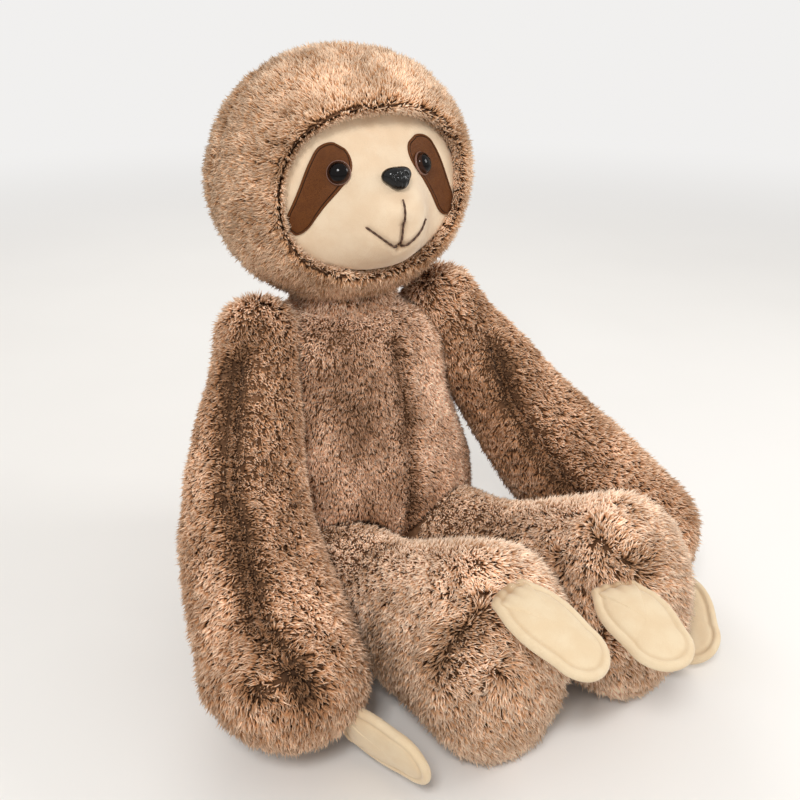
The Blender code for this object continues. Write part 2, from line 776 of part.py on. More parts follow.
def make_patch(side, parts, cutters):
    """Make one eye patch: a sheet of leatherette on the face panel, cut to its outline."""
    shares = [(1 - math.cos(math.pi * r / PATCH_ROWS)) / 2 for r in range(PATCH_ROWS + 1)]
    outline = [patch_edge_point(side, along, 1) for along in shares]
    outline += [patch_edge_point(side, along, -1) for along in reversed(shares)]
    sheet = face_surface()
    shrink(sheet, -FIT_GAP)
    mesh = bpy.data.meshes.new(f"{side}_eye_patch")
    sheet.to_mesh(mesh)
    sheet.free()
    mesh.shade_smooth()
    patch = bpy.data.objects.new(f"{side}_eye_patch", mesh)
    parts.objects.link(patch)
    add_wall(patch, -PATCH_THICKNESS)
    trim = [(p.x, face_centre.z + p.z) for p in face_outline(-PATCH_MARGIN)]
    for name, edge in (("patch_outline", outline), ("patch_trim", trim)):
        cut(patch, prism(f"{side}_{name}", edge, head_centre.y - FACE_RIM_AHEAD, cutters),
            "INTERSECT")
    return patch


def make_eye(side, parts, cutters):
    """Make one eye with its shank, its washer and its cutters."""
    x, z = SIDES[side] * EYE_SPACING / 2, face_centre.z + EYE_RISE
    radius, shank = EYE_DIAMETER / 2, SHANK_DIAMETER / 2
    lift = PATCH_THICKNESS + 3 * FIT_GAP + seat_depth(x, z, radius, 1)
    dome = [(radius * math.cos(math.pi / 2 * k / EYE_DOME_RINGS),
             EYE_RIM_THICKNESS + EYE_DOME_HEIGHT * math.sin(math.pi / 2 * k / EYE_DOME_RINGS))
            for k in range(EYE_DOME_RINGS, -1, -1)]
    dome[0] = (0, dome[0][1])
    eye = turned_piece(f"{side}_eye", parts, dome + [
        (radius, 0), (shank, 0), (shank, -SHANK_LENGTH), (0, -SHANK_LENGTH)])
    place_on_face(eye, x, z, lift)
    return eye, fit_button(f"{side}_eye", x, z, lift, radius, parts, cutters)


def nose_section(reach, height):
    """Return one ring of the nose: a triangle with round corners, point down."""
    points = []
    for k in range(ROUND_SIDES):
        angle = math.tau * k / ROUND_SIDES
        lobe = 1 + NOSE_CORNER_SHARE * math.cos(3 * (angle - math.pi / 6))
        points.append(Vector((NOSE_WIDTH / 2 * reach * lobe * math.cos(angle),
                              NOSE_HEIGHT / 2 * reach * lobe * math.sin(angle), height)))
    return points


def make_nose(parts, cutters):
    """Make the moulded nose with its shank, its washer and its cutters."""
    x, z = 0, face_centre.z + NOSE_RISE
    radius = NOSE_WIDTH / 2
    lift = 2 * FIT_GAP + seat_depth(x, z, radius, 1)
    rings = []
    for k in range(NOSE_RINGS):
        angle = math.pi / 2 * k / NOSE_RINGS
        height = NOSE_EDGE + (NOSE_DEPTH - NOSE_EDGE) * math.sin(angle)
        rings.append(nose_section(math.cos(angle) ** NOSE_ROUND_SHARE, height))
    base = [Vector((p.x, p.y, 0)) for p in nose_section(1, 0)]
    bm = loft([base] + rings, Vector(), Vector((0, 0, NOSE_DEPTH)))
    nose = mesh_object("nose", bm, parts)
    shank = rod("nose_shank", cutters, Vector((0, 0, -SHANK_LENGTH)), Vector((0, 0, NOSE_EDGE)),
                SHANK_DIAMETER / 2)
    hide_cutter(shank)
    cut(nose, shank, "UNION")
    face_up = face_normal(x, z)
    turn = Matrix((LEFT, face_up.cross(LEFT), face_up)).transposed().to_4x4()
    place = Matrix.Translation(face_point(x, z, lift)) @ turn
    nose.matrix_world = place
    shank.matrix_world = place
    return nose, fit_button("nose", x, z, lift, radius, parts, cutters)


def make_stitch(name, points, parts):
    """Make one thread of the mouth that lies on the face along a line of (x, z) points."""
    curve = bpy.data.curves.new(name, "CURVE")
    curve.dimensions = "3D"
    curve.bevel_depth = STITCH_DIAMETER / 2
    curve.bevel_resolution = 1
    curve.use_fill_caps = True
    spline = curve.splines.new("POLY")
    spline.points.add(len(points) - 1)
    for point, (x, z) in zip(spline.points, points):
        point.co = (*face_point(x, z, STITCH_DIAMETER / 2 + STITCH_CLEARANCE), 1)
    obj = bpy.data.objects.new(name, curve)
    parts.objects.link(obj)
    return obj


def make_mouth(parts):
    """Make the mouth: an upright thread, and one that curves up to each side of its foot."""
    top = face_centre.z - MOUTH_DROP
    foot = top - MOUTH_LENGTH
    steps = [k / (STITCH_POINTS - 1) for k in range(STITCH_POINTS)]
    pieces = [make_stitch("mouth_upright_stitch", [(0, top - MOUTH_LENGTH * t) for t in steps],
                          parts)]
    for side, sign in SIDES.items():
        start = 2 * STITCH_DIAMETER
        points = [(sign * (start + (MOUTH_HALF_WIDTH - start) * t),
                   foot + MOUTH_CURL * t**MOUTH_CURVE_POWER) for t in steps]
        pieces.append(make_stitch(f"mouth_{side}_stitch", points, parts))
    return pieces


def claw_form(root, along, across):
    """Return one claw, a flat tongue that curves down to its tip."""
    upright = along.cross(across).normalized()
    if upright.dot(UP) < 0:
        upright = -upright
    base = CLAW_BASE_THICKNESS / 2

    def path(distance):
        bend = CLAW_CURVE * (distance / CLAW_LENGTH) ** 2
        return root + along * (distance - base) - upright * bend, across, upright

    return Form(path, CLAW_LENGTH, table_sizes(CLAW_WIDTH, CLAW_THICKNESS, CLAW_SHARES),
                (base, CLAW_TIP_ROUND), CLAW_RINGS, CLAW_SIDES, ROUND_POWER)


def make_claw(name, limb, parts, cutters):
    """Make one claw at the rounded end of a limb, with its place and the room that it turns in."""
    outwards, along, roll = claw_directions(name)
    root = limb.end_point(outwards) + outwards * CLAW_STANDOFF
    across = Matrix.Rotation(roll, 3, along) @ UP.cross(along).normalized()
    form = claw_form(root, along, across)
    cover = form.cover(f"{name}_cover", parts, CLAW_FABRIC_THICKNESS)
    core = form.core(f"{name}_stuffing", parts, CLAW_FABRIC_THICKNESS, CLAW_CORE_CLEARANCE)
    opening = rod(f"{name}_opening", cutters, root - along * CLAW_BASE_THICKNESS,
                  root - along * CLAW_FABRIC_THICKNESS, CLAW_OPENING_DIAMETER / 2)
    cut(cover, hide_cutter(opening))
    reach = across * (CLAW_WIDTH / 2)
    rooms = [rod(f"{name}_groove", cutters, root - reach, root + reach,
                 CLAW_BASE_THICKNESS / 2 + FIT_GAP)]
    low, high = CLAW_SWING_DEGREES["hand" if "hand" in name else "foot"]
    for k in range(CLAW_ROOM_STEPS):
        angle = math.radians(low + (high - low) * k / (CLAW_ROOM_STEPS - 1))
        room = mesh_object(f"{name}_room_{k}", form.surface(-CLAW_SWING_CLEARANCE), cutters)
        turn = Matrix.Rotation(angle, 4, across)
        room.matrix_world = Matrix.Translation(root) @ turn @ Matrix.Translation(-root)
        rooms.append(room)
    return root, cover, core, [hide_cutter(room) for room in rooms]


def finish(obj, material, pivot=None):
    """Give a piece its material, and hang it on the empty of the joint that moves it."""
    obj.data.materials.append(material)
    if pivot:
        obj.parent = pivot
        obj.matrix_parent_inverse = Matrix.Translation(-pivot.location)


def new_pivot(name, place, collection):
    """Make the empty that marks a joint's place."""
    empty = bpy.data.objects.new(name, None)
    empty.empty_display_size = PIVOT_MARK_SIZE
    empty.location = place
    collection.objects.link(empty)
    return empty


def make_limb(name, form, seam_cutters, cover_cutters, parts):
    """Make the cover and the core of a limb, and cut both by what they meet."""
    cover = form.cover(f"{name}_cover", parts, FUR_THICKNESS)
    core = form.core(f"{name}_stuffing", parts, FUR_THICKNESS)
    for cutter in seam_cutters:
        cut(cover, cutter)
        cut(core, cutter)
    for cutter in cover_cutters:
        cut(cover, cutter)
    return cover, core


def main():
    """Build the sloth from its seat up."""
    clear_scene()
    parts = new_collection("plush_sloth")
    cutters = new_collection("cutters")
    finishes = {name: new_material(name) for name in MATERIALS}
    fur, fibre = finishes["brown_fur"], finishes["fibre_stuffing"]
    floor = hide_cutter(block("floor", cutters,
                              Vector((-CUT_OVERRUN - TORSO_HEIGHT, -CUT_OVERRUN - TORSO_HEIGHT,
                                      -CUT_OVERRUN)),
                              Vector((CUT_OVERRUN + TORSO_HEIGHT, CUT_OVERRUN + TORSO_HEIGHT, 0))))
    neck_socket = hide_cutter(ball("neck_socket", cutters, neck_pivot,
                                   NECK_RADIUS + NECK_CLEARANCE, NECK_SEGMENTS))

    torso_cuts = [floor, neck_socket]
    for side in SIDES:
        torso_cuts += arm_rooms(side, cutters) + leg_rooms(side, cutters)
    cover, core = make_torso(torso_cuts, parts, cutters)
    finish(cover, fur)
    finish(core, fibre)

    neck_empty = new_pivot("neck_pivot", neck_pivot, parts)
    neck = ball("neck_stuffing", parts, neck_pivot, NECK_RADIUS, NECK_SEGMENTS)
    finish(neck, fibre, neck_empty)

    panel, face_core, recess = make_face(parts, cutters)
    head_cuts = [neck_socket, recess]
    for piece, material in zip(make_limb("head", head_form(), head_cuts, [], parts), (fur, fibre)):
        finish(piece, material, neck_empty)
    buttons = []
    for side in SIDES:
        patch = make_patch(side, parts, cutters)
        eye, (washer, hole, pocket) = make_eye(side, parts, cutters)
        cut(patch, hole)
        buttons.append((hole, pocket))
        finish(patch, finishes["brown_leatherette"], neck_empty)
        finish(eye, finishes["brown_eye_plastic"], neck_empty)
        finish(washer, finishes["white_washer_plastic"], neck_empty)
    nose, (washer, hole, pocket) = make_nose(parts, cutters)
    buttons.append((hole, pocket))
    finish(nose, finishes["black_nose_plastic"], neck_empty)
    finish(washer, finishes["white_washer_plastic"], neck_empty)
    for hole, pocket in buttons:
        cut(panel, hole)
        cut(face_core, hole)
        cut(face_core, pocket)
    finish(panel, finishes["cream_face_plush"], neck_empty)
    finish(face_core, fibre, neck_empty)
    for stitch in make_mouth(parts):
        finish(stitch, finishes["brown_thread"], neck_empty)

    limbs = []
    for side in SIDES:
        arm = arm_form(side)
        leg = leg_form(side)
        limbs.append((f"{side}_arm", f"{side}_hand_claw", arm, SHOULDER_OPENING_DIAMETER,
                      shoulder(side)))
        limbs.append((f"{side}_leg", f"{side}_foot_claw", leg, HIP_OPENING_DIAMETER, hip(side)))
    for name, claw_name, form, opening_diameter, place in limbs:
        start = form.path(0)[0]
        behind = start + (start - place).normalized() * CUT_OVERRUN
        opening = hide_cutter(rod(f"{name}_opening", cutters, behind, place,
                                  opening_diameter / 2))
        pivot = new_pivot(f"{name}_pivot", place, parts)
        root, claw_cover, claw_core, rooms = make_claw(claw_name, form, parts, cutters)
        claw_pivot = new_pivot(f"{claw_name}_pivot", root, parts)
        cover, core = make_limb(name, form, [floor] + rooms, [opening], parts)
        finish(cover, fur, pivot)
        finish(core, fibre, pivot)
        finish(claw_cover, finishes["cream_claw_plush"], claw_pivot)
        finish(claw_core, fibre, claw_pivot)


def turned(degrees, drop_degrees):
    """Return the direction that looks ahead, turned to the left and dropped by angles."""
    turn, drop = math.radians(degrees), math.radians(drop_degrees)
    level = AHEAD * math.cos(turn) + LEFT * math.sin(turn)
    return (level * math.cos(drop) - UP * math.sin(drop)).normalized()


def claw_directions(name):
    """Return where a claw is sewn on its limb's end, which way it points, and its roll."""
    (root_turn, root_drop), (turn, drop), roll = CLAW_DEGREES[name]
    return turned(root_turn, root_drop), turned(turn, drop), math.radians(roll)


main()
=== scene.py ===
"""Dress the plush sloth: frosted fur, smooth face, leather eye patches, moulded buttons and claws."""

import itertools
import json
import logging
import math
from collections.abc import Callable
from dataclasses import dataclass, field, replace
from enum import Enum
from functools import cache

import bpy
import numpy as np
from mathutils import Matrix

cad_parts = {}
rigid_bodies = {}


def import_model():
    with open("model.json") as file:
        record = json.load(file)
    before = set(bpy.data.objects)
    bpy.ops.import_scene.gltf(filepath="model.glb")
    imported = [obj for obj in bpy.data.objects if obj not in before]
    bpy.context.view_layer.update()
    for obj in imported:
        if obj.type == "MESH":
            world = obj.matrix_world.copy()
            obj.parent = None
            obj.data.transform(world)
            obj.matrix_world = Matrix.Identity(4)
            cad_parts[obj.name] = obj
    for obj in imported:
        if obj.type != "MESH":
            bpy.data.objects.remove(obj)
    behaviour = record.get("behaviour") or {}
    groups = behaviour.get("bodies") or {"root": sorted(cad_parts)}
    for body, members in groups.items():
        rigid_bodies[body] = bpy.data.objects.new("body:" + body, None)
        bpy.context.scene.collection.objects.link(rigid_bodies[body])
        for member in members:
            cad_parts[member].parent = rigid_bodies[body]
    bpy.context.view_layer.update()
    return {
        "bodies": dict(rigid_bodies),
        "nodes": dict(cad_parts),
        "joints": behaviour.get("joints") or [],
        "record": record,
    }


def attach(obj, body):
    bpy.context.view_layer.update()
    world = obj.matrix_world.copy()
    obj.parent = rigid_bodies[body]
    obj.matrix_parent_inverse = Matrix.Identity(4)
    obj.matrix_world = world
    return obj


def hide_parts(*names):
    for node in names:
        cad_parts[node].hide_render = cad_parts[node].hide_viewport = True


Array = np.ndarray
Colour = tuple[float, float, float]
Point = tuple[float, float, float]
Range = tuple[float, float]
Sizes = Callable[[Array], tuple[Array, Array]]

LEFT = np.array((1.0, 0.0, 0.0))
BACK = np.array((0.0, 1.0, 0.0))
UP = np.array((0.0, 0.0, 1.0))

PILE_INSET = 0.003  # the backing lies this far inside the flattened pile
UNDERSIDE = 0.003  # no fur grows on what lies lower than this
SIDE_SEAM = 0.012  # front fur ends and back fur starts at this y
ROOM_GAP = 0.0026  # air between a limb's way and the torso

log = logging.getLogger("sloth")


class Side(Enum):
    """The toy's own right and left, with the sign of x there."""

    RIGHT = -1
    LEFT = 1

    @property
    def word(self) -> str:
        """Return the side's name in the CAD nodes."""
        return self.name.lower()


# ---- arrays ----


def unit(vectors: Array) -> Array:
    """Return vectors scaled to length 1."""
    return vectors / np.maximum(np.linalg.norm(vectors, axis=-1, keepdims=True), 1e-12)


def tangent(vectors: Array, normals: Array) -> Array:
    """Return the part of each vector that lies in the surface, scaled to length 1."""
    return unit(vectors - normals * np.sum(vectors * normals, axis=-1, keepdims=True))


def hash_unit(cells: Array, seed: int) -> Array:
    """Return a fixed number from 0 to 1 for each whole-numbered cell.

    Args:
        cells: Whole numbers, three to a cell.
        seed: Picks one of many such fields.

    Returns:
        One number a cell, from multiplying and folding the cell's three numbers together.
    """
    i, j, k = (cells[..., axis].astype(np.int64) for axis in range(3))
    value = (i * 73856093) ^ (j * 19349663) ^ (k * 83492791) ^ (seed * 2654435761)
    value = ((value ^ (value >> 13)) * 1274126177) & 0xFFFFFFFF
    value = (value ^ (value >> 15)) & 0xFFFFFF
    return value / 0xFFFFFF


def lumps(points: Array, size: float, seed: int) -> Array:
    """Return smooth lumps from -1 to 1.

    The corners of a lattice of cubes hold fixed random numbers, and a point blends the eight
    around it by 3t^2 - 2t^3 along each axis.

    Args:
        points: Places in space.
        size: The side of a cube of the lattice.
        seed: Picks the field.

    Returns:
        One value a point.
    """
    cells = points / size
    base = np.floor(cells)
    share = cells - base
    share = share * share * (3 - 2 * share)
    total = np.zeros(points.shape[:-1])
    for corner in itertools.product((0, 1), repeat=3):
        picks = np.where(np.array(corner) == 1, share, 1 - share)
        total += hash_unit(base + np.array(corner), seed) * np.prod(picks, axis=-1)
    return total * 2 - 1


def locks(points: Array, size: float, seed: int) -> tuple[Array, Array]:
    """Return the way to the middle of each point's lock of fur, and the lock's own tone.

    Space is cut into cubes with one jittered middle each, and a point belongs to the nearest.

    Args:
        points: Roots of strands.
        size: The side of a cube, about the width of a lock.
        seed: Picks the pattern.

    Returns:
        The vectors to the middles, and one tone from 0 to 1 a point.
    """
    base = np.floor(points / size)
    nearest = np.full(points.shape[:-1], np.inf)
    away = np.zeros_like(points)
    tone = np.zeros(points.shape[:-1])
    for offset in itertools.product((-1, 0, 1), repeat=3):
        cell = base + np.array(offset)
        jitter = np.stack([hash_unit(cell, seed + 11 * axis) for axis in range(3)], axis=-1)
        gap = (cell + jitter) * size - points
        distance = np.sum(gap * gap, axis=-1)
        closer = distance < nearest
        nearest = np.where(closer, distance, nearest)
        away = np.where(closer[..., None], gap, away)
        tone = np.where(closer, hash_unit(cell, seed + 47), tone)
    return away, tone


def table_curve(rows: Array, shares: Array, column: int) -> Array:
    """Read a smooth curve through one column of a table of shares.

    Between two rows the curve is the cubic that has the rows' values and, at each, half the
    difference of the values on its two sides as slope.

    Args:
        rows: The table, whose first column rises from 0 to 1.
        shares: Where the curve is read.
        column: The column that it runs through.

    Returns:
        One value a share.
    """
    last = len(rows) - 1
    low = np.clip(np.searchsorted(rows[:, 0], shares, side="left") - 1, 0, last - 1)
    before, start, end, after = (rows[np.clip(low + k, 0, last), column] for k in (-1, 0, 1, 2))
    t = (shares - rows[low, 0]) / (rows[low + 1, 0] - rows[low, 0])
    return ((2 * t**3 - 3 * t**2 + 1) * start + (t**3 - 2 * t**2 + t) * (end - before) / 2
            + (3 * t**2 - 2 * t**3) * end + (t**3 - t**2) * (after - start) / 2)


def rounded_square(angles: Array, power: float) -> tuple[Array, Array]:
    """Return the outline |x|^power + |y|^power = 1 at some angles."""
    c, s = np.cos(angles), np.sin(angles)
    reach = (np.abs(c) ** power + np.abs(s) ** power) ** (-1 / power)
    return c * reach, s * reach


def line_gap(points: Array, line: Array) -> tuple[Array, Array]:
    """Return each point's distance from a line of points, and the vector from the line to it."""
    best = np.full(points.shape[:-1], np.inf)
    away = np.zeros_like(points)
    starts, ends = (line[:-1], line[1:]) if len(line) > 1 else (line, line)
    for start, end in zip(starts, ends):
        run = end - start
        share = np.clip((points - start) @ run / max(float(run @ run), 1e-12), 0, 1)
        gap = points - start - share[..., None] * run
        distance = np.linalg.norm(gap, axis=-1)
        closer = distance < best
        best = np.where(closer, distance, best)
        away = np.where(closer[..., None], gap, away)
    return best, away


def soften(rows: Array, times: int, first: int, last: int) -> Array:
    """Round the corners of a surface by averaging each row with its neighbours."""
    rows = rows.copy()
    for _ in range(times):
        middle = (rows[first - 1:last - 1] + 2 * rows[first:last] + rows[first + 1:last + 1]) / 4
        rows[first:last] = middle
    return rows


# ---- surfaces ----


@dataclass
class Surface:
    """A closed surface of triangles."""

    points: Array
    triangles: Array

    def corners(self) -> tuple[Array, ...]:
        """Return the three corners of each triangle."""
        return tuple(self.points[self.triangles[:, k]] for k in range(3))

    def means(self, values: Array) -> Array:
        """Return the mean of some point values over each triangle."""
        return values[self.triangles].mean(axis=1)

    def normals(self) -> Array:
        """Return the outward direction at each point, the mean of its faces' weighted by area."""
        a, b, c = self.corners()
        faces = np.cross(b - a, c - a)
        total = np.zeros_like(self.points)
        for k in range(3):
            for axis in range(3):
                total[:, axis] += np.bincount(self.triangles[:, k], faces[:, axis], len(total))
        return unit(total)

    def turned_out(self) -> "Surface":
        """Return the surface with its faces pointing out, by the sign of the volume inside."""
        a, b, c = self.corners()
        if np.sum(a * np.cross(b, c)) < 0:
            return Surface(self.points, self.triangles[:, ::-1])
        return self

    def moved(self, distances: Array) -> "Surface":
        """Return the surface moved along its outward directions by one distance a point."""
        return Surface(self.points + self.normals() * distances[:, None], self.triangles)

    def piece(self, name: str) -> bpy.types.Object:
        """Make an object of the surface."""
        return mesh_piece(name, self.points, self.triangles)


def mesh_piece(name: str, points: Array, triangles: Array) -> bpy.types.Object:
    """Make an object at the origin from points and triangles.

    Args:
        name: The piece's name.
        points: Its vertices.
        triangles: Three numbers of vertices a face.

    Returns:
        The new object, smooth shaded.
    """
    mesh = bpy.data.meshes.new(name)
    mesh.vertices.add(len(points))
    mesh.vertices.foreach_set("co", np.ascontiguousarray(points, np.float32).ravel())
    mesh.loops.add(3 * len(triangles))
    mesh.loops.foreach_set("vertex_index", np.ascontiguousarray(triangles, np.int32).ravel())
    mesh.polygons.add(len(triangles))
    mesh.polygons.foreach_set("loop_start", np.arange(0, 3 * len(triangles), 3, dtype=np.int32))
    mesh.polygons.foreach_set("use_smooth", np.ones(len(triangles), bool))
    mesh.update()
    mesh.validate()
    piece = bpy.data.objects.new(name, mesh)
    bpy.context.scene.collection.objects.link(piece)
    return piece


def wrap(rows: Array, first: Array, last: Array) -> Surface:
    """Close a grid of rings of points with a pole at each end.

    Each two neighbouring rings are joined by two triangles a column, and each end ring by one
    triangle a column to its pole.

    Args:
        rows: Rings of points, shaped (rings, columns, 3).
        first: The pole before the first ring.
        last: The pole after the last ring.

    Returns:
        The closed surface, facing out.
    """
    count, columns = rows.shape[:2]
    points = np.concatenate([rows.reshape(-1, 3), [first], [last]])
    k = np.arange(columns)
    n = (k + 1) % columns
    ring = np.arange(count - 1)[:, None] * columns
    a, b, c, d = ring + k, ring + n, ring + columns + n, ring + columns + k
    sides = np.concatenate([np.stack([a, b, c], -1).reshape(-1, 3),
                            np.stack([a, c, d], -1).reshape(-1, 3)])
    south = np.stack([n, k, np.full(columns, count * columns)], -1)
    end = (count - 1) * columns
    north = np.stack([end + k, end + n, np.full(columns, count * columns + 1)], -1)
    return Surface(points, np.concatenate([sides, south, north])).turned_out()


def set_values(piece: bpy.types.Object, name: str, values: Array) -> None:
    """Keep one number a point on a piece, for its material to read."""
    layer = piece.data.attributes.new(name, "FLOAT", "POINT")
    layer.data.foreach_set("value", np.ascontiguousarray(values, np.float32))


@dataclass(frozen=True)
class Form:
    """A stuffed form: sections along a path, swelling and tapering, with rounded ends."""

    centre: Callable[[Array], Array]
    across: Array
    upright: Array
    length: float
    sizes: Sizes
    rounds: Range
    power: float = 2.0

    def half_sizes(self, distances: Array) -> tuple[Array, Array]:
        """Return half the width and half the depth at distances along the path."""
        shaft = self.length - sum(self.rounds)
        return self.sizes(np.clip((distances - self.rounds[0]) / shaft, 0, 1))

    def surface(self, cap: int, shaft: int, columns: int) -> Surface:
        """Return the form's closed surface.

        A section at distance d is the outline |x|^p + |y|^p = 1, scaled by the half sizes there.
        Over a rounded end it is also scaled by (1 - (1 - part)^p)^(1/p), where part runs from 0
        at the pole to 1 at the shaft.

        Args:
            cap: Rings over each rounded end.
            shaft: Rings between the ends.
            columns: Points round a section.

        Returns:
            The surface.
        """
        part = 1 - np.cos(math.pi / 2 * np.arange(1, cap) / cap)
        share = (1 - (1 - part) ** self.power) ** (1 / self.power)
        middle = np.linspace(self.rounds[0], self.length - self.rounds[1], shaft)
        distances = np.concatenate([self.rounds[0] * part, middle,
                                    self.length - self.rounds[1] * part[::-1]])
        shares = np.concatenate([share, np.ones(shaft), share[::-1]])
        angles = math.tau * (np.arange(columns) + 0.5) / columns
        x, y = rounded_square(angles, self.power)
        wide, deep = self.half_sizes(distances)
        rows = (self.centre(distances)[:, None]
                + (wide * shares)[:, None, None] * x[:, None] * self.across
                + (deep * shares)[:, None, None] * y[:, None] * self.upright)
        ends = self.centre(np.array([0.0, self.length]))
        return wrap(rows, ends[0], ends[1])

    def holds(self, points: Array, margin: float) -> Array:
        """Return which points lie inside the form, grown by a margin, taking its path as level."""
        start, end = self.centre(np.array([0.0, self.length]))
        along = unit(end - start)
        distances = np.clip((points - start) @ along, 0, self.length)
        gap = points - self.centre(distances)
        wide, deep = self.half_sizes(distances)
        near = np.minimum(distances / self.rounds[0], (self.length - distances) / self.rounds[1])
        cap = np.sqrt(np.clip(1 - (1 - np.clip(near, 0, 1)) ** 2, 0, 1))
        return ((gap @ self.across / (wide * cap + margin)) ** 2
                + (gap @ self.upright / (deep * cap + margin)) ** 2) < 1


def weighted_sizes(rows: Array, sizes: Array) -> Sizes:
    """Return a limb's half sizes: those at its body, middle and end, weighted by a table."""
    def read(shares: Array) -> tuple[Array, Array]:
        weights = np.stack([table_curve(rows, shares, column) for column in (1, 2, 3)], -1)
        return weights @ sizes[:, 0] / 2, weights @ sizes[:, 1] / 2

    return read


def scaled_sizes(rows: Array, width: float, depth: float) -> Sizes:
    """Return half sizes that follow a table of shares of a width and a depth."""
    def read(shares: Array) -> tuple[Array, Array]:
        return table_curve(rows, shares, 1) * width / 2, table_curve(rows, shares, 2) * depth / 2

    return read


@dataclass(frozen=True)
class Crease:
    """A seam or fold that draws the surface in and parts the fur, along a line of points. Its dark value
    paints shade along it, on the fur and on the backing.
    """

    line: tuple[Point, ...]
    depth: float = 0.005
    width: float = 0.007
    parting: float = 1.0
    swirl: float = 0.0
    reach: float = 0.014
    # painted shade: how much darker the fur and its backing are painted along the crease
    dark: float = 0.5

    def gap(self, points: Array) -> tuple[Array, Array]:
        """Return the distance from the crease and the vector away from it."""
        return line_gap(points, np.array(self.line))

    def dent(self, points: Array) -> Array:
        """Return how far the surface is drawn in: depth * exp(-(distance / width)^2)."""
        return self.depth * np.exp(-(self.gap(points)[0] / self.width) ** 2)

    def share(self, points: Array) -> Array:
        """Return 1 on the crease, falling off by exp(-(distance / (0.8 reach))^2)."""
        return np.exp(-(self.gap(points)[0] / (self.reach * 0.8)) ** 2)


@dataclass(frozen=True)
class Pool:
    """A painted pool of light where the gain is above 0, and of shade where it is below 0: the fur's
    tone raised or lowered round a place.
    """

    place: Point
    reach: float
    gain: float


# ---- fur ----


@dataclass(frozen=True)
class Pile:
    """How one cloth's fur stands: its length, thickness, lean, locks and number of strands."""

    length: float
    width: float
    lean: Range
    locks: Range
    pull: Range
    frizz: float
    count: int


@dataclass(frozen=True)
class Nap:
    """Which way the fur lies over one form, and how dark it is, with painted shade at its creases and
    painted light and shade at its pools.
    """

    lie: Callable[[Array], Array]
    creases: tuple[Crease, ...] = ()
    pools: tuple[Pool, ...] = ()
    tone: float = 0.5
    seed: int = 1

    def direction(self, points: Array, normals: Array) -> Array:
        """Return the direction of the nap, parted at each crease and turned round each whorl.

        The general lie has each crease's outward direction, and that direction turned a quarter
        round in the surface, added to it by exp(-(distance / reach)^2).
        """
        way = tangent(self.lie(points), normals)
        for crease in self.creases:
            distance, away = crease.gap(points)
            share = np.exp(-(distance / (crease.reach * 1.6)) ** 2)[:, None]
            out = tangent(away, normals)
            way = way + share * 2.5 * (crease.parting * out + crease.swirl * np.cross(normals, out))
        wave = np.stack([lumps(points, 0.03, self.seed + k) for k in (1, 2, 3)], -1)
        return tangent(way + 0.45 * wave, normals)

    def tones(self, points: Array) -> Array:
        """Return the fur's tone from 0, dark, to 1, light: random lumps, painted shade along the
        creases, and painted light and shade at the pools.
        """
        tone = self.tone + 0.20 * lumps(points, 0.035, self.seed + 5)
        tone = tone + 0.12 * lumps(points, 0.013, self.seed + 6)
        # painted shade along each crease
        for crease in self.creases:
            tone = tone - crease.dark * crease.share(points)
        # painted light and shade at each pool
        for painted_light_pool in self.pools:
            distance = np.linalg.norm(points - np.array(painted_light_pool.place), axis=-1)
            tone = tone + painted_light_pool.gain * np.exp(-(distance / painted_light_pool.reach) ** 2)
        return tone


STRAND = np.array([(0, 1, 2), (3, 2, 1), (0, 3, 1), (0, 2, 3)])


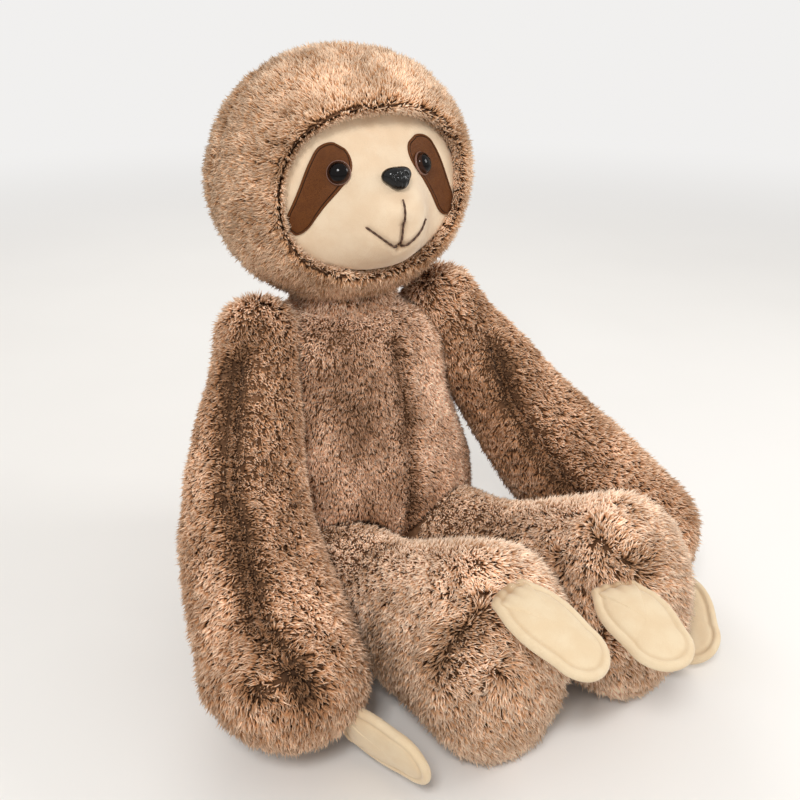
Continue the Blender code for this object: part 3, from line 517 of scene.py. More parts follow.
def grow_fur(name: str, cloth: Surface, pile: Pile, nap: Nap, keep: Array,
             lengths: Callable[[Array], Array] | None = None) -> bpy.types.Object:
    """Grow fur on a cloth.

    A strand is a thin closed sliver of four faces: from its root it rises at the first lean to its
    two widest points, at 45% of its length, and bends at the second to its tip, which is drawn to
    the middle of its lock. Its UV map runs along it in v and holds its tone in u.

    Args:
        name: The piece's name.
        cloth: The surface that it grows on.
        pile: How it stands.
        nap: Which way it lies.
        keep: A weight from 0 to 1 for each triangle, 0 where nothing grows.
        lengths: Turns roots into shares of the pile's length.

    Returns:
        The piece.
    """
    chance = np.random.default_rng(nap.seed)
    count = pile.count
    a, b, c = cloth.corners()
    areas = np.linalg.norm(np.cross(b - a, c - a), axis=-1) * keep
    marks = np.cumsum(areas)
    picks = np.searchsorted(marks, chance.random(count) * marks[-1])
    first, second = np.sqrt(chance.random(count)), chance.random(count)
    weights = np.stack([1 - first, first * (1 - second), first * second], -1)[..., None]
    corners = cloth.triangles[picks]
    roots = np.sum(cloth.points[corners] * weights, axis=1)
    normals = unit(np.sum(cloth.normals()[corners] * weights, axis=1))

    lie = nap.direction(roots, normals)
    length = pile.length * (0.7 + 0.6 * chance.random(count))
    if lengths is not None:
        length = length * lengths(roots)
    for crease in nap.creases:
        length = length * (1 - 0.6 * min(crease.dark, 1) * crease.share(roots))
    low, high = (np.radians(angle + 12 * chance.standard_normal(count))[:, None]
                 for angle in pile.lean)
    loose = chance.standard_normal((count, 3)) * pile.frizz
    rise = unit(normals * np.cos(low) + lie * np.sin(low) + loose)
    bend = unit(normals * np.cos(high) + lie * np.sin(high) + loose * 1.4)
    middle = roots + rise * length[:, None] * 0.45
    tips = middle + bend * length[:, None] * 0.55
    tone = nap.tones(roots) + 0.10 * chance.standard_normal(count)
    for size, pull in zip(pile.locks, pile.pull):
        way, lock_tone = locks(roots, size, nap.seed + int(size * 1e4))
        way = way - normals * np.sum(way * normals, axis=-1, keepdims=True)
        middle = middle + way * pull * 0.4
        tips = tips + way * pull
        tone = tone + 0.14 * (lock_tone - 0.5)

    middle[:, 2] = np.maximum(middle[:, 2], 0.0012)
    tips[:, 2] = np.maximum(tips[:, 2], 0.0004)
    chord = unit(tips - roots)
    bow = middle - roots - chord * np.sum((middle - roots) * chord, axis=-1, keepdims=True)
    middle = middle + unit(bow) * np.maximum(0.0004 - np.linalg.norm(bow, axis=-1), 0)[:, None]
    side = np.cross(chord, unit(bow))
    half = pile.width / 2 * (0.7 + 0.6 * chance.random(count))[:, None]
    points = np.stack([roots, middle - side * half, middle + side * half, tips], axis=1)
    points = points.reshape(-1, 3)
    triangles = (np.arange(count)[:, None, None] * 4 + STRAND).reshape(-1, 3)
    piece = mesh_piece(name, points, triangles)

    start = np.clip(tone, 0.02, 0.96)[:, None]
    across = start + np.array([0.01, 0.0, 0.02, 0.01])
    along = np.array([0.02, 0.45, 0.45, 1.0])
    places = np.stack([across, np.broadcast_to(along, across.shape)], -1)
    uv = piece.data.uv_layers.new(name="OFBake")
    uv.data.foreach_set("uv", np.ascontiguousarray(places[:, STRAND.ravel()], np.float32).ravel())
    return piece


# ---- materials ----


class Nodes:
    """The nodes of one material or node group, with short calls to add and join them."""

    def __init__(self, tree: bpy.types.NodeTree) -> None:
        """Take the tree that the nodes go into."""
        self.tree = tree

    def add(self, kind: str, settings: dict | None = None, **inputs: object) -> bpy.types.Node:
        """Add a node.

        Args:
            kind: The node's type, without its first words.
            settings: The node's own properties.
            inputs: Values or sockets for its inputs, a space in a name written as _.

        Returns:
            The node.
        """
        node = self.tree.nodes.new(f"ShaderNode{kind}")
        for key, value in (settings or {}).items():
            setattr(node, key, value)
        self.fill(node, **inputs)
        return node

    def fill(self, node: bpy.types.Node, **inputs: object) -> None:
        """Put values or sockets into a node's inputs, a space in a name written as _."""
        for key, value in inputs.items():
            self.put(node.inputs[key.replace("_", " ")], value)

    def put(self, socket: bpy.types.NodeSocket, value: object) -> None:
        """Link a socket to an input, or set the input's value, where a colour is opaque."""
        if isinstance(value, bpy.types.NodeSocket):
            self.tree.links.new(value, socket)
        else:
            socket.default_value = (*value, 1)[:4] if isinstance(value, tuple) else value

    def group(self, builder: Callable[[], bpy.types.NodeTree], **inputs: object) -> bpy.types.Node:
        """Place a node group with its own values."""
        return self.add("Group", {"node_tree": builder()}, **inputs)

    def attribute(self, name: str) -> bpy.types.NodeSocket:
        """Return the number that a piece keeps at each of its points under a name."""
        return self.add("Attribute", {"attribute_name": name}).outputs["Fac"]

    def bump(self, strength: float, distance: float, height: object) -> bpy.types.NodeSocket:
        """Return the surface's direction, bent by a height."""
        return self.add("Bump", Strength=strength, Distance=distance, Height=height).outputs[0]

    def place(self) -> bpy.types.NodeSocket:
        """Return the place in the piece's own space."""
        return self.add("TexCoord").outputs["Object"]

    def maths(self, operation: str, *values: object) -> bpy.types.NodeSocket:
        """Return a sum, product or other result of one to three numbers."""
        node = self.add("Math", {"operation": operation})
        for socket, value in zip(node.inputs, values):
            self.put(socket, value)
        return node.outputs[0]

    def mix(self, share: object, first: object, second: object) -> bpy.types.NodeSocket:
        """Return two colours mixed by a share, through the node's three inputs for colours."""
        node = self.add("Mix", {"data_type": "RGBA"})
        for socket, value in ((0, share), (6, first), (7, second)):
            self.put(node.inputs[socket], value)
        return node.outputs[2]

    def span(self, value: object, low: Range, high: Range,
             smooth: bool = False) -> bpy.types.NodeSocket:
        """Return a number carried from one range to another."""
        kind = {"interpolation_type": "SMOOTHSTEP" if smooth else "LINEAR"}
        return self.add("MapRange", kind, Value=value, From_Min=low[0], From_Max=low[1],
                        To_Min=high[0], To_Max=high[1]).outputs[0]

    def noise(self, place: object, scale: float, detail: float = 2.0) -> bpy.types.NodeSocket:
        """Return noise from 0 to 1 at a place."""
        return self.add("TexNoise", Vector=place, Scale=scale, Detail=detail).outputs[0]


def new_group(name: str, inputs: dict[str, object], outputs: dict[str, str]) -> tuple:
    """Start a node group with named sockets.

    Args:
        name: The group's name.
        inputs: A default a socket: a number, or a colour of four.
        outputs: The kind of socket a name.

    Returns:
        The group, its nodes, the input node and the output node.
    """
    tree = bpy.data.node_groups.new(name, "ShaderNodeTree")
    for key, value in inputs.items():
        kind = "NodeSocketColor" if isinstance(value, tuple) else "NodeSocketFloat"
        tree.interface.new_socket(key, in_out="INPUT", socket_type=kind).default_value = value
    for key, kind in outputs.items():
        tree.interface.new_socket(key, in_out="OUTPUT", socket_type=kind)
    source, sink = (tree.nodes.new(f"NodeGroup{end}") for end in ("Input", "Output"))
    return tree, Nodes(tree), source, sink


@cache
def frosted_strand_group() -> bpy.types.NodeTree:
    """Build the colour of a strand from its UV map: dark at its root, light at its tip.

    The share along the strand blends root, middle and tip. The tone across, which holds random
    variation, painted shade at creases and painted light and shade at pools, scales the result, and
    moves how far up the strand the dark root reaches.
    """
    tree, n, source, sink = new_group(
        "frosted strand", {"Root": (0, 0, 0, 1), "Middle": (0, 0, 0, 1), "Tip": (1, 1, 1, 1)},
        {"Colour": "NodeSocketColor"})
    uv = n.add("SeparateXYZ", Vector=n.add("UVMap", {"uv_map": "OFBake"}).outputs[0])
    tone, along = uv.outputs[0], uv.outputs[1]
    reach = n.maths("ADD", along, n.span(tone, (0, 1), (-0.22, 0.22)))
    lower = n.mix(n.span(reach, (0.12, 0.5), (0, 1), True), source.outputs["Root"],
                  source.outputs["Middle"])
    upper = n.mix(n.span(reach, (0.5, 0.95), (0, 1), True), lower, source.outputs["Tip"])
    level = n.span(tone, (0, 1), (0.50, 1.45))
    shade = n.add("VectorMath", {"operation": "SCALE"}, Vector=upper, Scale=level)
    n.put(sink.inputs["Colour"], shade.outputs[0])
    return tree


@cache
def cloth_group() -> bpy.types.NodeTree:
    """Build short plush: fine pile as height, and a soft mottle of where it lies over."""
    tree, n, source, sink = new_group(
        "short plush", {"Pile Scale": 900.0, "Mottle Scale": 45.0},
        {"Height": "NodeSocketFloat", "Mottle": "NodeSocketFloat"})
    place = n.place()
    fine = n.noise(place, source.outputs["Pile Scale"], 3.0)
    speck = n.add("TexVoronoi", {"feature": "F1"}, Vector=place,
                  Scale=source.outputs["Pile Scale"]).outputs["Distance"]
    broad = n.noise(place, source.outputs["Mottle Scale"], 4.0)
    height = n.maths("ADD", n.maths("MULTIPLY", speck, 0.6), n.maths("MULTIPLY", broad, 1.4))
    n.put(sink.inputs["Height"], n.maths("ADD", height, fine))
    n.put(sink.inputs["Mottle"], n.maths("ADD", n.maths("MULTIPLY", broad, 0.75),
                                         n.maths("MULTIPLY", fine, 0.25)))
    return tree


@cache
def grain_group() -> bpy.types.NodeTree:
    """Build leather grain: pebbles between fine creases, and the rub that lightens them."""
    tree, n, source, sink = new_group(
        "leather grain", {"Grain Scale": 700.0},
        {"Height": "NodeSocketFloat", "Rub": "NodeSocketFloat"})
    place = n.place()
    pebble = n.add("TexVoronoi", {"feature": "DISTANCE_TO_EDGE"}, Vector=place,
                   Scale=source.outputs["Grain Scale"]).outputs["Distance"]
    raised = n.span(pebble, (0.0, 0.22), (0, 1), True)
    broad = n.noise(place, 120.0, 4.0)
    n.put(sink.inputs["Height"], n.maths("ADD", raised, n.maths("MULTIPLY", broad, 0.8)))
    n.put(sink.inputs["Rub"], n.maths("MULTIPLY", raised, broad))
    return tree


def start_material(name: str) -> tuple[bpy.types.Material, Nodes, bpy.types.Node]:
    """Return a new material, its nodes and its shader."""
    material = bpy.data.materials.new(name)
    material.use_nodes = True
    return material, Nodes(material.node_tree), material.node_tree.nodes["Principled BSDF"]


@dataclass(frozen=True)
class Finish:
    """A named material, which its subclasses describe."""

    name: str

    def inputs(self, n: Nodes) -> dict[str, object]:
        """Return the shader's inputs, a space in a name written as _."""
        raise NotImplementedError

    def material(self) -> bpy.types.Material:
        """Return the material, built the first time that a piece takes it."""
        material = bpy.data.materials.get(self.name)
        if material is None:
            material, n, shader = start_material(self.name)
            n.fill(shader, **self.inputs(n))
        return material


@dataclass(frozen=True)
class FurFinish(Finish):
    """Frosted fur: dark roots, brown lengths and light tips."""

    root: Colour
    middle: Colour
    tip: Colour

    def inputs(self, n: Nodes) -> dict[str, object]:
        """Return the inputs for the strands."""
        strand = n.group(frosted_strand_group, Root=self.root, Middle=self.middle, Tip=self.tip)
        return {"Base_Color": strand.outputs["Colour"], "Roughness": 0.72,
                "Specular_IOR_Level": 0.12}


@dataclass(frozen=True)
class PlushFinish(Finish):
    """Short smooth plush, mottled between two colours, with painted shade in its deep colour where the
    piece's dent value is high.
    """

    light: Colour
    dark: Colour
    # the colour of the painted shade
    deep: Colour
    pile_scale: float = 900.0
    mottle_scale: float = 45.0
    bump: float = 0.35

    def inputs(self, n: Nodes) -> dict[str, object]:
        """Return the inputs; the piece's dent value is how much painted shade it takes, in creases,
        dents and along edges.
        """
        cloth = n.group(cloth_group, Pile_Scale=self.pile_scale, Mottle_Scale=self.mottle_scale)
        mottle = cloth.outputs["Mottle"]
        colour = n.mix(n.span(mottle, (0.35, 0.68), (0, 1), True), self.dark, self.light)
        # painted shade: the deep colour mixed in by the dent value
        return {"Base_Color": n.mix(n.attribute("dent"), colour, self.deep),
                "Roughness": n.span(mottle, (0, 1), (0.95, 0.8)),
                "Normal": n.bump(self.bump, 0.0007, cloth.outputs["Height"]),
                "Sheen_Weight": 0.25, "Sheen_Roughness": 0.4, "Specular_IOR_Level": 0.2}


@dataclass(frozen=True)
class LeatherFinish(Finish):
    """Soft brown leather with a stitched line inside its edge."""

    light: Colour
    dark: Colour
    stitch: Colour

    def inputs(self, n: Nodes) -> dict[str, object]:
        """Return the inputs; the piece's edge value is its distance from the edge in mm."""
        grain = n.group(grain_group, Grain_Scale=900.0)
        rub = grain.outputs["Rub"]
        colour = n.mix(n.span(rub, (0.1, 0.6), (0, 1), True), self.dark, self.light)
        line = n.maths("COMPARE", n.attribute("edge"), 2.5, 0.42)
        return {"Base_Color": n.mix(line, colour, self.stitch),
                "Roughness": n.span(rub, (0, 0.7), (0.62, 0.42)),
                "Normal": n.bump(0.4, 0.0003, grain.outputs["Height"]),
                "Specular_IOR_Level": 0.2}


@dataclass(frozen=True)
class EyeFinish(Finish):
    """A moulded eye: black pupil, dark brown ring and a mauve-brown rim under a clear gloss."""

    pupil: Colour
    ring: Colour
    rim: Colour

    def inputs(self, n: Nodes) -> dict[str, object]:
        """Return the inputs; the piece's reach value is the share of its radius."""
        reach = n.maths("ADD", n.attribute("reach"),
                        n.span(n.noise(n.place(), 1600.0), (0, 1), (-0.015, 0.015)))
        colour = n.mix(n.span(reach, (0.68, 0.80), (0, 1), True), self.pupil, self.ring)
        return {"Base_Color": n.mix(n.span(reach, (0.92, 0.95), (0, 1), True), colour, self.rim),
                "Roughness": n.span(reach, (0.9, 0.95), (0.06, 0.3)),
                "Specular_IOR_Level": 0.1, "Coat_Weight": 0.12, "Coat_Roughness": 0.03}


@dataclass(frozen=True)
class MouldedFinish(Finish):
    """Moulded plastic with a fine texture and the wear that dulls it."""

    colour: Colour
    worn: Colour
    roughness: Range
    grain_scale: float = 500.0
    bump: float = 0.15
    coat: float = 0.0
    specular: float = 0.5

    def inputs(self, n: Nodes) -> dict[str, object]:
        """Return the inputs."""
        grain = n.group(grain_group, Grain_Scale=self.grain_scale)
        rub = n.span(grain.outputs["Rub"], (0.1, 0.7), (0, 1), True)
        return {"Base_Color": n.mix(rub, self.colour, self.worn),
                "Roughness": n.span(rub, (0, 1), self.roughness),
                "Normal": n.bump(self.bump, 0.0002, grain.outputs["Height"]),
                "Specular_IOR_Level": self.specular,
                "Coat_Weight": self.coat, "Coat_Roughness": 0.06}


@dataclass(frozen=True)
class ThreadFinish(Finish):
    """Twisted thread: light on its strands, with shade painted dark in the grooves between them."""

    light: Colour
    dark: Colour

    def inputs(self, n: Nodes) -> dict[str, object]:
        """Return the inputs; the piece's strand value is 1 on a strand and 0 between two, where the
        shade is painted.
        """
        strand = n.maths("ADD", n.attribute("strand"),
                         n.span(n.noise(n.place(), 3000.0), (0, 1), (-0.2, 0.2)))
        return {"Base_Color": n.mix(strand, self.dark, self.light),
                "Roughness": n.span(strand, (0, 1), (0.85, 0.6))}


# The third colour of each plush finish is its painted shade.
FUR_SKIN = PlushFinish("fur backing", (0.25, 0.125, 0.062), (0.13, 0.060, 0.027),
                       (0.02, 0.009, 0.004), 500.0, 60.0, 0.8)
BODY_FUR = FurFinish("body fur", (0.120, 0.046, 0.018), (0.64, 0.34, 0.185), (0.99, 0.75, 0.57))
HEAD_FUR = FurFinish("head fur", (0.120, 0.046, 0.018), (0.56, 0.30, 0.150), (0.90, 0.66, 0.47))
# painted shade: the arms' fur is darker, partly for the shade the arms hang in and partly for more of
# its dark roots showing
SHADED_ARM_FUR = FurFinish("arm fur", (0.085, 0.032, 0.012), (0.54, 0.27, 0.130), (0.98, 0.70, 0.50))
LEG_FUR = FurFinish("leg fur", (0.110, 0.045, 0.017), (0.60, 0.33, 0.175), (0.95, 0.72, 0.54))
FACE_PLUSH = PlushFinish("face plush", (0.76, 0.61, 0.44), (0.71, 0.54, 0.37), (0.45, 0.27, 0.15))
CLAW_PLUSH = PlushFinish("claw plush", (0.74, 0.60, 0.41), (0.70, 0.54, 0.35), (0.42, 0.27, 0.15))
LEATHER = LeatherFinish("patch leather", (0.140, 0.045, 0.007), (0.088, 0.025, 0.004),
                        (0.022, 0.008, 0.003))
EYES = EyeFinish("eye", (0.003, 0.002, 0.002), (0.032, 0.011, 0.005), (0.21, 0.115, 0.088))
NOSE = MouldedFinish("nose", (0.004, 0.004, 0.004), (0.009, 0.008, 0.007), (0.14, 0.20), 420.0, 0.05,
                     0.2, 0.2)
WASHERS = MouldedFinish("washer plastic", (0.62, 0.62, 0.60), (0.70, 0.70, 0.68), (0.45, 0.6))
THREAD = ThreadFinish("mouth thread", (0.12, 0.055, 0.028), (0.035, 0.015, 0.008))


def dress(piece: bpy.types.Object, finish: Finish, body: str,
          stands_for: tuple[str, ...] = ()) -> bpy.types.Object:
    """Give a piece its material, its body and what it stands for.

    Args:
        piece: The piece.
        finish: Its finish.
        body: The CAD body that it moves with.
        stands_for: The CAD nodes that it replaces.

    Returns:
        The piece.
    """
    piece.data.materials.append(finish.material())
    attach(piece, body)
    if stands_for:
        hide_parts(*stands_for)
    log.info("%s: %d faces on %s", piece.name, len(piece.data.polygons), body)
    return piece


def hold_off(skin: Surface, balls: Array) -> tuple[Surface, Array]:
    """Draw a surface in along its own directions until it is clear of some balls.

    A point at a from a ball's middle, with outward direction n, moves in by
    n.a + sqrt((n.a)^2 - |a|^2 + r^2), where it meets the ball's far side.

    Args:
        skin: The surface.
        balls: A row of x, y, z and radius for each ball.

    Returns:
        The surface, and how far each point moved.
    """
    points, normals = skin.points.copy(), skin.normals()
    moved = np.zeros(len(points))
    for ball in balls:
        a = points - ball[:3]
        inside = np.sum(a * a, axis=-1) < ball[3] ** 2
        lean = np.sum(a * normals, axis=-1)
        step = lean + np.sqrt(np.maximum(lean**2 - np.sum(a * a, axis=-1) + ball[3] ** 2, 0))
        step = np.where(inside, step, 0)
        points -= normals * step[:, None]
        moved += step
    return Surface(points, skin.triangles), moved


def stuffed(skin: Surface, creases: tuple[Crease, ...], seed: int) -> Surface:
    """Return a skin drawn in for its pile and at its seams, and made lumpy by its stuffing.

    The move along the outward direction is lumps of 48 mm and 20 mm, less the inset and dents.
    """
    bulge = 0.0022 * lumps(skin.points, 0.048, seed) + 0.0012 * lumps(skin.points, 0.020, seed + 1)
    for crease in creases:
        bulge = bulge - crease.dent(skin.points)
    skin = skin.moved(bulge - PILE_INSET)
    skin.points[:, 2] = np.maximum(skin.points[:, 2], 0.0008)
    return skin


def snapped(creases: tuple[Crease, ...], skin: Surface) -> tuple[Crease, ...]:
    """Return the creases with each of their points moved to the nearest point of a skin."""
    def nearest(place: Point) -> Point:
        gaps = np.sum((skin.points - np.array(place)) ** 2, axis=-1)
        return tuple(skin.points[np.argmin(gaps)])

    return tuple(replace(crease, line=tuple(map(nearest, crease.line))) for crease in creases)


def back_cloth(name: str, skin: Surface, body: str, nodes: tuple[str, ...],
               creases: tuple[Crease, ...] = ()) -> None:
    """Make the cloth under a pile, with shade painted darker near a crease.

    Args:
        name: The piece's name.
        skin: Its surface.
        body: The CAD body that it moves with.
        nodes: The CAD nodes that it replaces.
        creases: Its seams and folds; the dent value, the share of painted shade, is the largest share of
            any of them.
    """
    piece = dress(skin.piece(name), FUR_SKIN, body, nodes)
    # painted shade near each crease
    shares = np.zeros(len(skin.points))
    for crease in creases:
        shares = np.maximum(shares, min(crease.dark * 1.3, 1) * crease.share(skin.points))
    set_values(piece, "dent", shares)


def grow_halves(body: str, skin: Surface, pile: Pile, nap: Nap, keep: Array, finish: FurFinish,
                lengths: Callable[[Array], Array] | None = None) -> None:
    """Grow fur on the front and the back of a cloth, parted at its side seams.

    Args:
        body: The CAD body, which names the pieces.
        skin: The cloth.
        pile: How the fur stands.
        nap: Which way it lies, with a seed to which each half adds its number.
        keep: A weight for each triangle.
        finish: The fur's finish.
        lengths: Turns roots into shares of the pile's length.
    """
    middles = skin.means(skin.points[:, 1])
    for number, (name, half) in enumerate((("front", middles < SIDE_SEAM),
                                           ("back", middles >= SIDE_SEAM)), 1):
        fur = grow_fur(f"{body}_fur_{name}", skin, pile, replace(nap, seed=nap.seed + number),
                       keep * half, lengths)
        dress(fur, finish, body)


def mirrored(line: tuple[Point, ...], sign: int) -> tuple[Point, ...]:
    """Return a line of points with x times a sign."""
    return tuple((sign * x, y, z) for x, y, z in line)


# ---- the sloth ----


@dataclass(frozen=True)
class Torso:
    """The short-piled body, with a parted seam down its front."""

    width: float = 0.272
    depth: float = 0.214
    height: float = 0.353
    seat_height: float = 0.060
    top_height: float = 0.062
    lean: float = 0.020
    sunk: float = 0.0005
    power: float = 2.4
    rows: tuple[Point, ...] = ((0, 0.99, 0.97), (0.25, 1, 1), (0.5, 0.94, 0.97),
                               (0.75, 0.82, 0.86), (1, 0.78, 0.76))
    pile: Pile = Pile(0.0082, 0.0013, (24, 54), (0.0075, 0.0035), (0.32, 0.28), 0.18, 46000)
    creases: tuple[Crease, ...] = (
        Crease(((0.0194, -0.0599, 0.316), (0.0215, -0.0756, 0.257), (0.0202, -0.0911, 0.2034),
                (0.0175, -0.1004, 0.1588), (0.0091, -0.104, 0.1119), (0.004, -0.104, 0.06)),
               depth=0.0060, width=0.006, reach=0.009, dark=1.0),)
    # painted light and shade: darker on the toy's right front, lighter on its left front
    pools: tuple[Pool, ...] = (
        Pool((-0.045, -0.085, 0.265), 0.055, -0.22), Pool((0.075, -0.075, 0.23), 0.06, 0.20),
        Pool((-0.03, -0.105, 0.13), 0.04, -0.12), Pool((0.03, -0.08, 0.30), 0.04, 0.12))
    bare_from: float = 0.009

    def form(self) -> Form:
        """Return the pear-shaped form, which leans back by lean * (d / height)^2."""
        def centre(distances: Array) -> Array:
            lean = self.lean * (distances / self.height) ** 2
            return lean[:, None] * BACK + (distances - self.sunk)[:, None] * UP

        return Form(centre, LEFT, BACK, self.height + self.sunk,
                    scaled_sizes(np.array(self.rows), self.width, self.depth),
                    (self.seat_height, self.top_height), self.power)

    def build(self, rooms: Array) -> None:
        """Make the skin and its fur, clear of the limbs' rooms."""
        skin, moved = hold_off(stuffed(self.form().surface(22, 80, 132), self.creases, 20), rooms)
        bare = (moved > self.bare_from) | (skin.points[:, 2] < UNDERSIDE)
        keep = skin.means(np.where(bare, 0.0, 1.0)) > 0.99
        back_cloth("torso_skin", skin, "torso", ("torso_cover", "torso_stuffing"), self.creases)
        nap = Nap(lambda points: -UP + 0 * points, self.creases, self.pools, 0.53, 30)
        grow_halves("torso", skin, self.pile, nap, keep, BODY_FUR)


@dataclass(frozen=True)
class Neck:
    """The gathered neck between the torso and the head."""

    centre: Point = (0.0, 0.024, 0.350)
    radius: float = 0.0525
    gathers: int = 22
    gather_depth: float = 0.0012
    fur_height: float = 0.358
    fur_reach: float = 0.024
    pile: Pile = Pile(0.0110, 0.0015, (30, 60), (0.011, 0.005), (0.45, 0.4), 0.26, 9000)

    def build(self) -> None:
        """Make the neck: a ball whose radius has shallow gathers that fade to its poles."""
        rise = math.pi * np.arange(1, 40)[:, None] / 40
        turn = math.tau * np.arange(132)[None] / 132
        gather = (0.5 + 0.5 * np.cos(self.gathers * turn)) * np.sin(rise)
        radius = self.radius - self.gather_depth * gather
        rows = np.stack([radius * np.sin(rise) * np.cos(turn), radius * np.sin(rise) * np.sin(turn),
                         -radius * np.cos(rise) + 0 * turn], -1) + np.array(self.centre)
        reach = np.array((0, 0, self.radius))
        skin = wrap(rows, np.array(self.centre) - reach, np.array(self.centre) + reach)
        back_cloth("neck_gather", skin, "neck", ("neck_stuffing",))
        nap = Nap(lambda points: -UP + 0 * points, tone=0.45, seed=37)
        away = np.abs(skin.means(skin.points[:, 2]) - self.fur_height)
        keep = (away < self.fur_reach).astype(float)
        dress(grow_fur("neck_fur", skin, self.pile, nap, keep), BODY_FUR, "neck")


MOUTH_CURVE = ((0.0, 0.0, 0.435), (0.0145, 0.0, 0.4425), (0.032, 0.0, 0.457))


@dataclass(frozen=True)
class Face:
    """The smooth cream face panel in its hood."""

    head_centre: Point = (0.0, 0.024, 0.485)
    width: float = 0.200
    height: float = 0.160
    drop: float = 0.004
    rim_ahead: float = 0.064
    recess: float = 0.022
    bulge: float = 0.018
    muzzle_bulge: float = 0.060
    muzzle_power: float = 1.6
    muzzle_width: float = 0.100
    muzzle_height: float = 0.135
    muzzle_drop: float = 0.034
    hollow: float = 0.0055
    hollow_size: Range = (0.030, 0.020)
    hollow_drop: float = 0.021
    dome_power: float = 0.4
    outline_power: float = 2.3
    dents: tuple[Crease, ...] = (
        Crease(((0.0, 0.0, 0.459), (0.0, 0.0, 0.435)), 0.0022, 0.0042),
        *(Crease(mirrored(MOUTH_CURVE, sign), 0.0016, 0.0034) for sign in (1, -1)),
        Crease(((0.0, 0.0, 0.434),), 0.0016, 0.0060),
        Crease(((-0.006, 0.0, 0.488), (0.006, 0.0, 0.488)), 0.0018, 0.010),
    )

    @property
    def middle(self) -> float:
        """Return the height of the face's middle."""
        return self.head_centre[2] - self.drop

    def ahead(self, x: Array, z: Array) -> Array:
        """Return how far the panel stands ahead of the head's middle.

        With out the squared share of the way to the outline, it is the rim, plus
        bulge * (1 - out)^dome_power, plus the muzzle's hill exp(-spread^muzzle_power), faded by
        sqrt(1 - out), less a wide shallow hollow under the upright thread.
        """
        across = np.abs(x / (self.width / 2)) ** self.outline_power
        rise = np.abs((z - self.middle) / (self.height / 2)) ** self.outline_power
        out = np.minimum((across + rise) ** (2 / self.outline_power), 1)
        spread = ((x / (self.muzzle_width / 2)) ** 2
                  + ((z - self.middle + self.muzzle_drop) / (self.muzzle_height / 2)) ** 2)
        hollow = self.hollow * np.exp(-(x / self.hollow_size[0]) ** 2 - (
            (z - self.middle + self.hollow_drop) / self.hollow_size[1]) ** 2)
        return (self.rim_ahead + self.bulge * (1 - out) ** self.dome_power - hollow
                + self.muzzle_bulge * np.exp(-spread**self.muzzle_power) * np.sqrt(1 - out))

    def normal(self, x: Array, z: Array) -> Array:
        """Return the panel's outward direction, from its slopes across and up."""
        step = 0.001
        slope_x = (self.ahead(x + step, z) - self.ahead(x - step, z)) / (2 * step)
        slope_z = (self.ahead(x, z + step) - self.ahead(x, z - step)) / (2 * step)
        return unit(np.stack([-slope_x, -np.ones_like(slope_x), -slope_z], -1))

    def place(self, x: Array, z: Array, lift: Array | float = 0.0) -> Array:
        """Return points on the panel, lifted off it."""
        points = np.stack([x, self.head_centre[1] - self.ahead(x, z), z], -1)
        return points + self.normal(x, z) * np.asarray(lift)[..., None]

    def spot(self, x: float, z: float, lift: float) -> tuple[Array, Array]:
        """Return one point lifted off the panel, and the panel's direction there."""
        across, rise = np.full(1, x), np.full(1, z)
        return self.place(across, rise, lift)[0], self.normal(across, rise)[0]

    def outline(self, angles: Array, grow: float = 0.0) -> tuple[Array, Array]:
        """Return the panel's outline, grown by a distance."""
        x, z = rounded_square(angles, self.outline_power)
        return x * (self.width / 2 + grow), z * (self.height / 2 + grow) + self.middle

    def dent(self, x: Array, z: Array) -> Array:
        """Return how far the panel is drawn in by the threads of the mouth and by the nose."""
        flat = np.stack([x, np.zeros_like(x), z], -1)
        return sum(crease.dent(flat) for crease in self.dents)

    def build(self) -> None:
        """Make the panel: a puffed front over a flat back, with its edge rolled under."""
        angles = math.tau * np.arange(220) / 220
        x, z = self.outline(angles)
        shares = np.sin(math.pi / 2 * np.arange(1, 91) / 90)[:, None]
        face_x, face_z = x * shares, (z - self.middle) * shares + self.middle
        dent = self.dent(face_x, face_z) * np.minimum((1 - shares) * 12, 1)
        pile = 0.0010 * lumps(self.place(face_x, face_z), 0.03, 71)
        front = self.place(face_x, face_z, -dent)
        front[..., 1] -= pile * np.sqrt(1 - shares**2)
        back = self.head_centre[1] - (self.rim_ahead - self.recess) - 0.0006
        steps = np.linspace(0, 1, 12)[1:, None]
        side = np.stack([np.broadcast_to(x, (11, 220)),
                         front[-1:, :, 1] * (1 - steps) + back * steps,
                         np.broadcast_to(z, (11, 220))], -1)
        floor_share = np.linspace(1, 0, 8)[1:-1, None]
        floor = np.stack([x * floor_share, np.full((6, 220), back),
                          (z - self.middle) * floor_share + self.middle], -1)
        rows = soften(np.concatenate([front, side, floor]), 6, 84, 104)
        first = self.head_centre[1] - self.ahead(np.zeros(1), np.full(1, self.middle))[0]
        skin = wrap(rows, np.array((0, first, self.middle)), np.array((0, back, self.middle)))
        piece = dress(skin.piece("face_pad"), FACE_PLUSH, "head",
                      ("face_panel", "face_stuffing"))
        # painted shade in the dent value: darker in the dents of the threads and the nose, and along the
        # rim under the hood
        dents = np.zeros(len(skin.points))
        dents[:dent.size] = np.clip(dent / 0.0035, 0, 1).ravel() ** 1.5 * 0.7
        edge = np.clip((shares - 0.972) / 0.028, 0, 1) + 0 * dent
        dents[:dent.size] = np.maximum(dents[:dent.size], 0.45 * edge.ravel())
        set_values(piece, "dent", dents)


HEAD_SEAM = ((0.0789, 0.0347, 0.5894), (0.1094, 0.026, 0.5637), (0.1298, 0.0224, 0.5323),
             (0.1388, 0.0289, 0.4929), (0.1300, 0.034, 0.440))


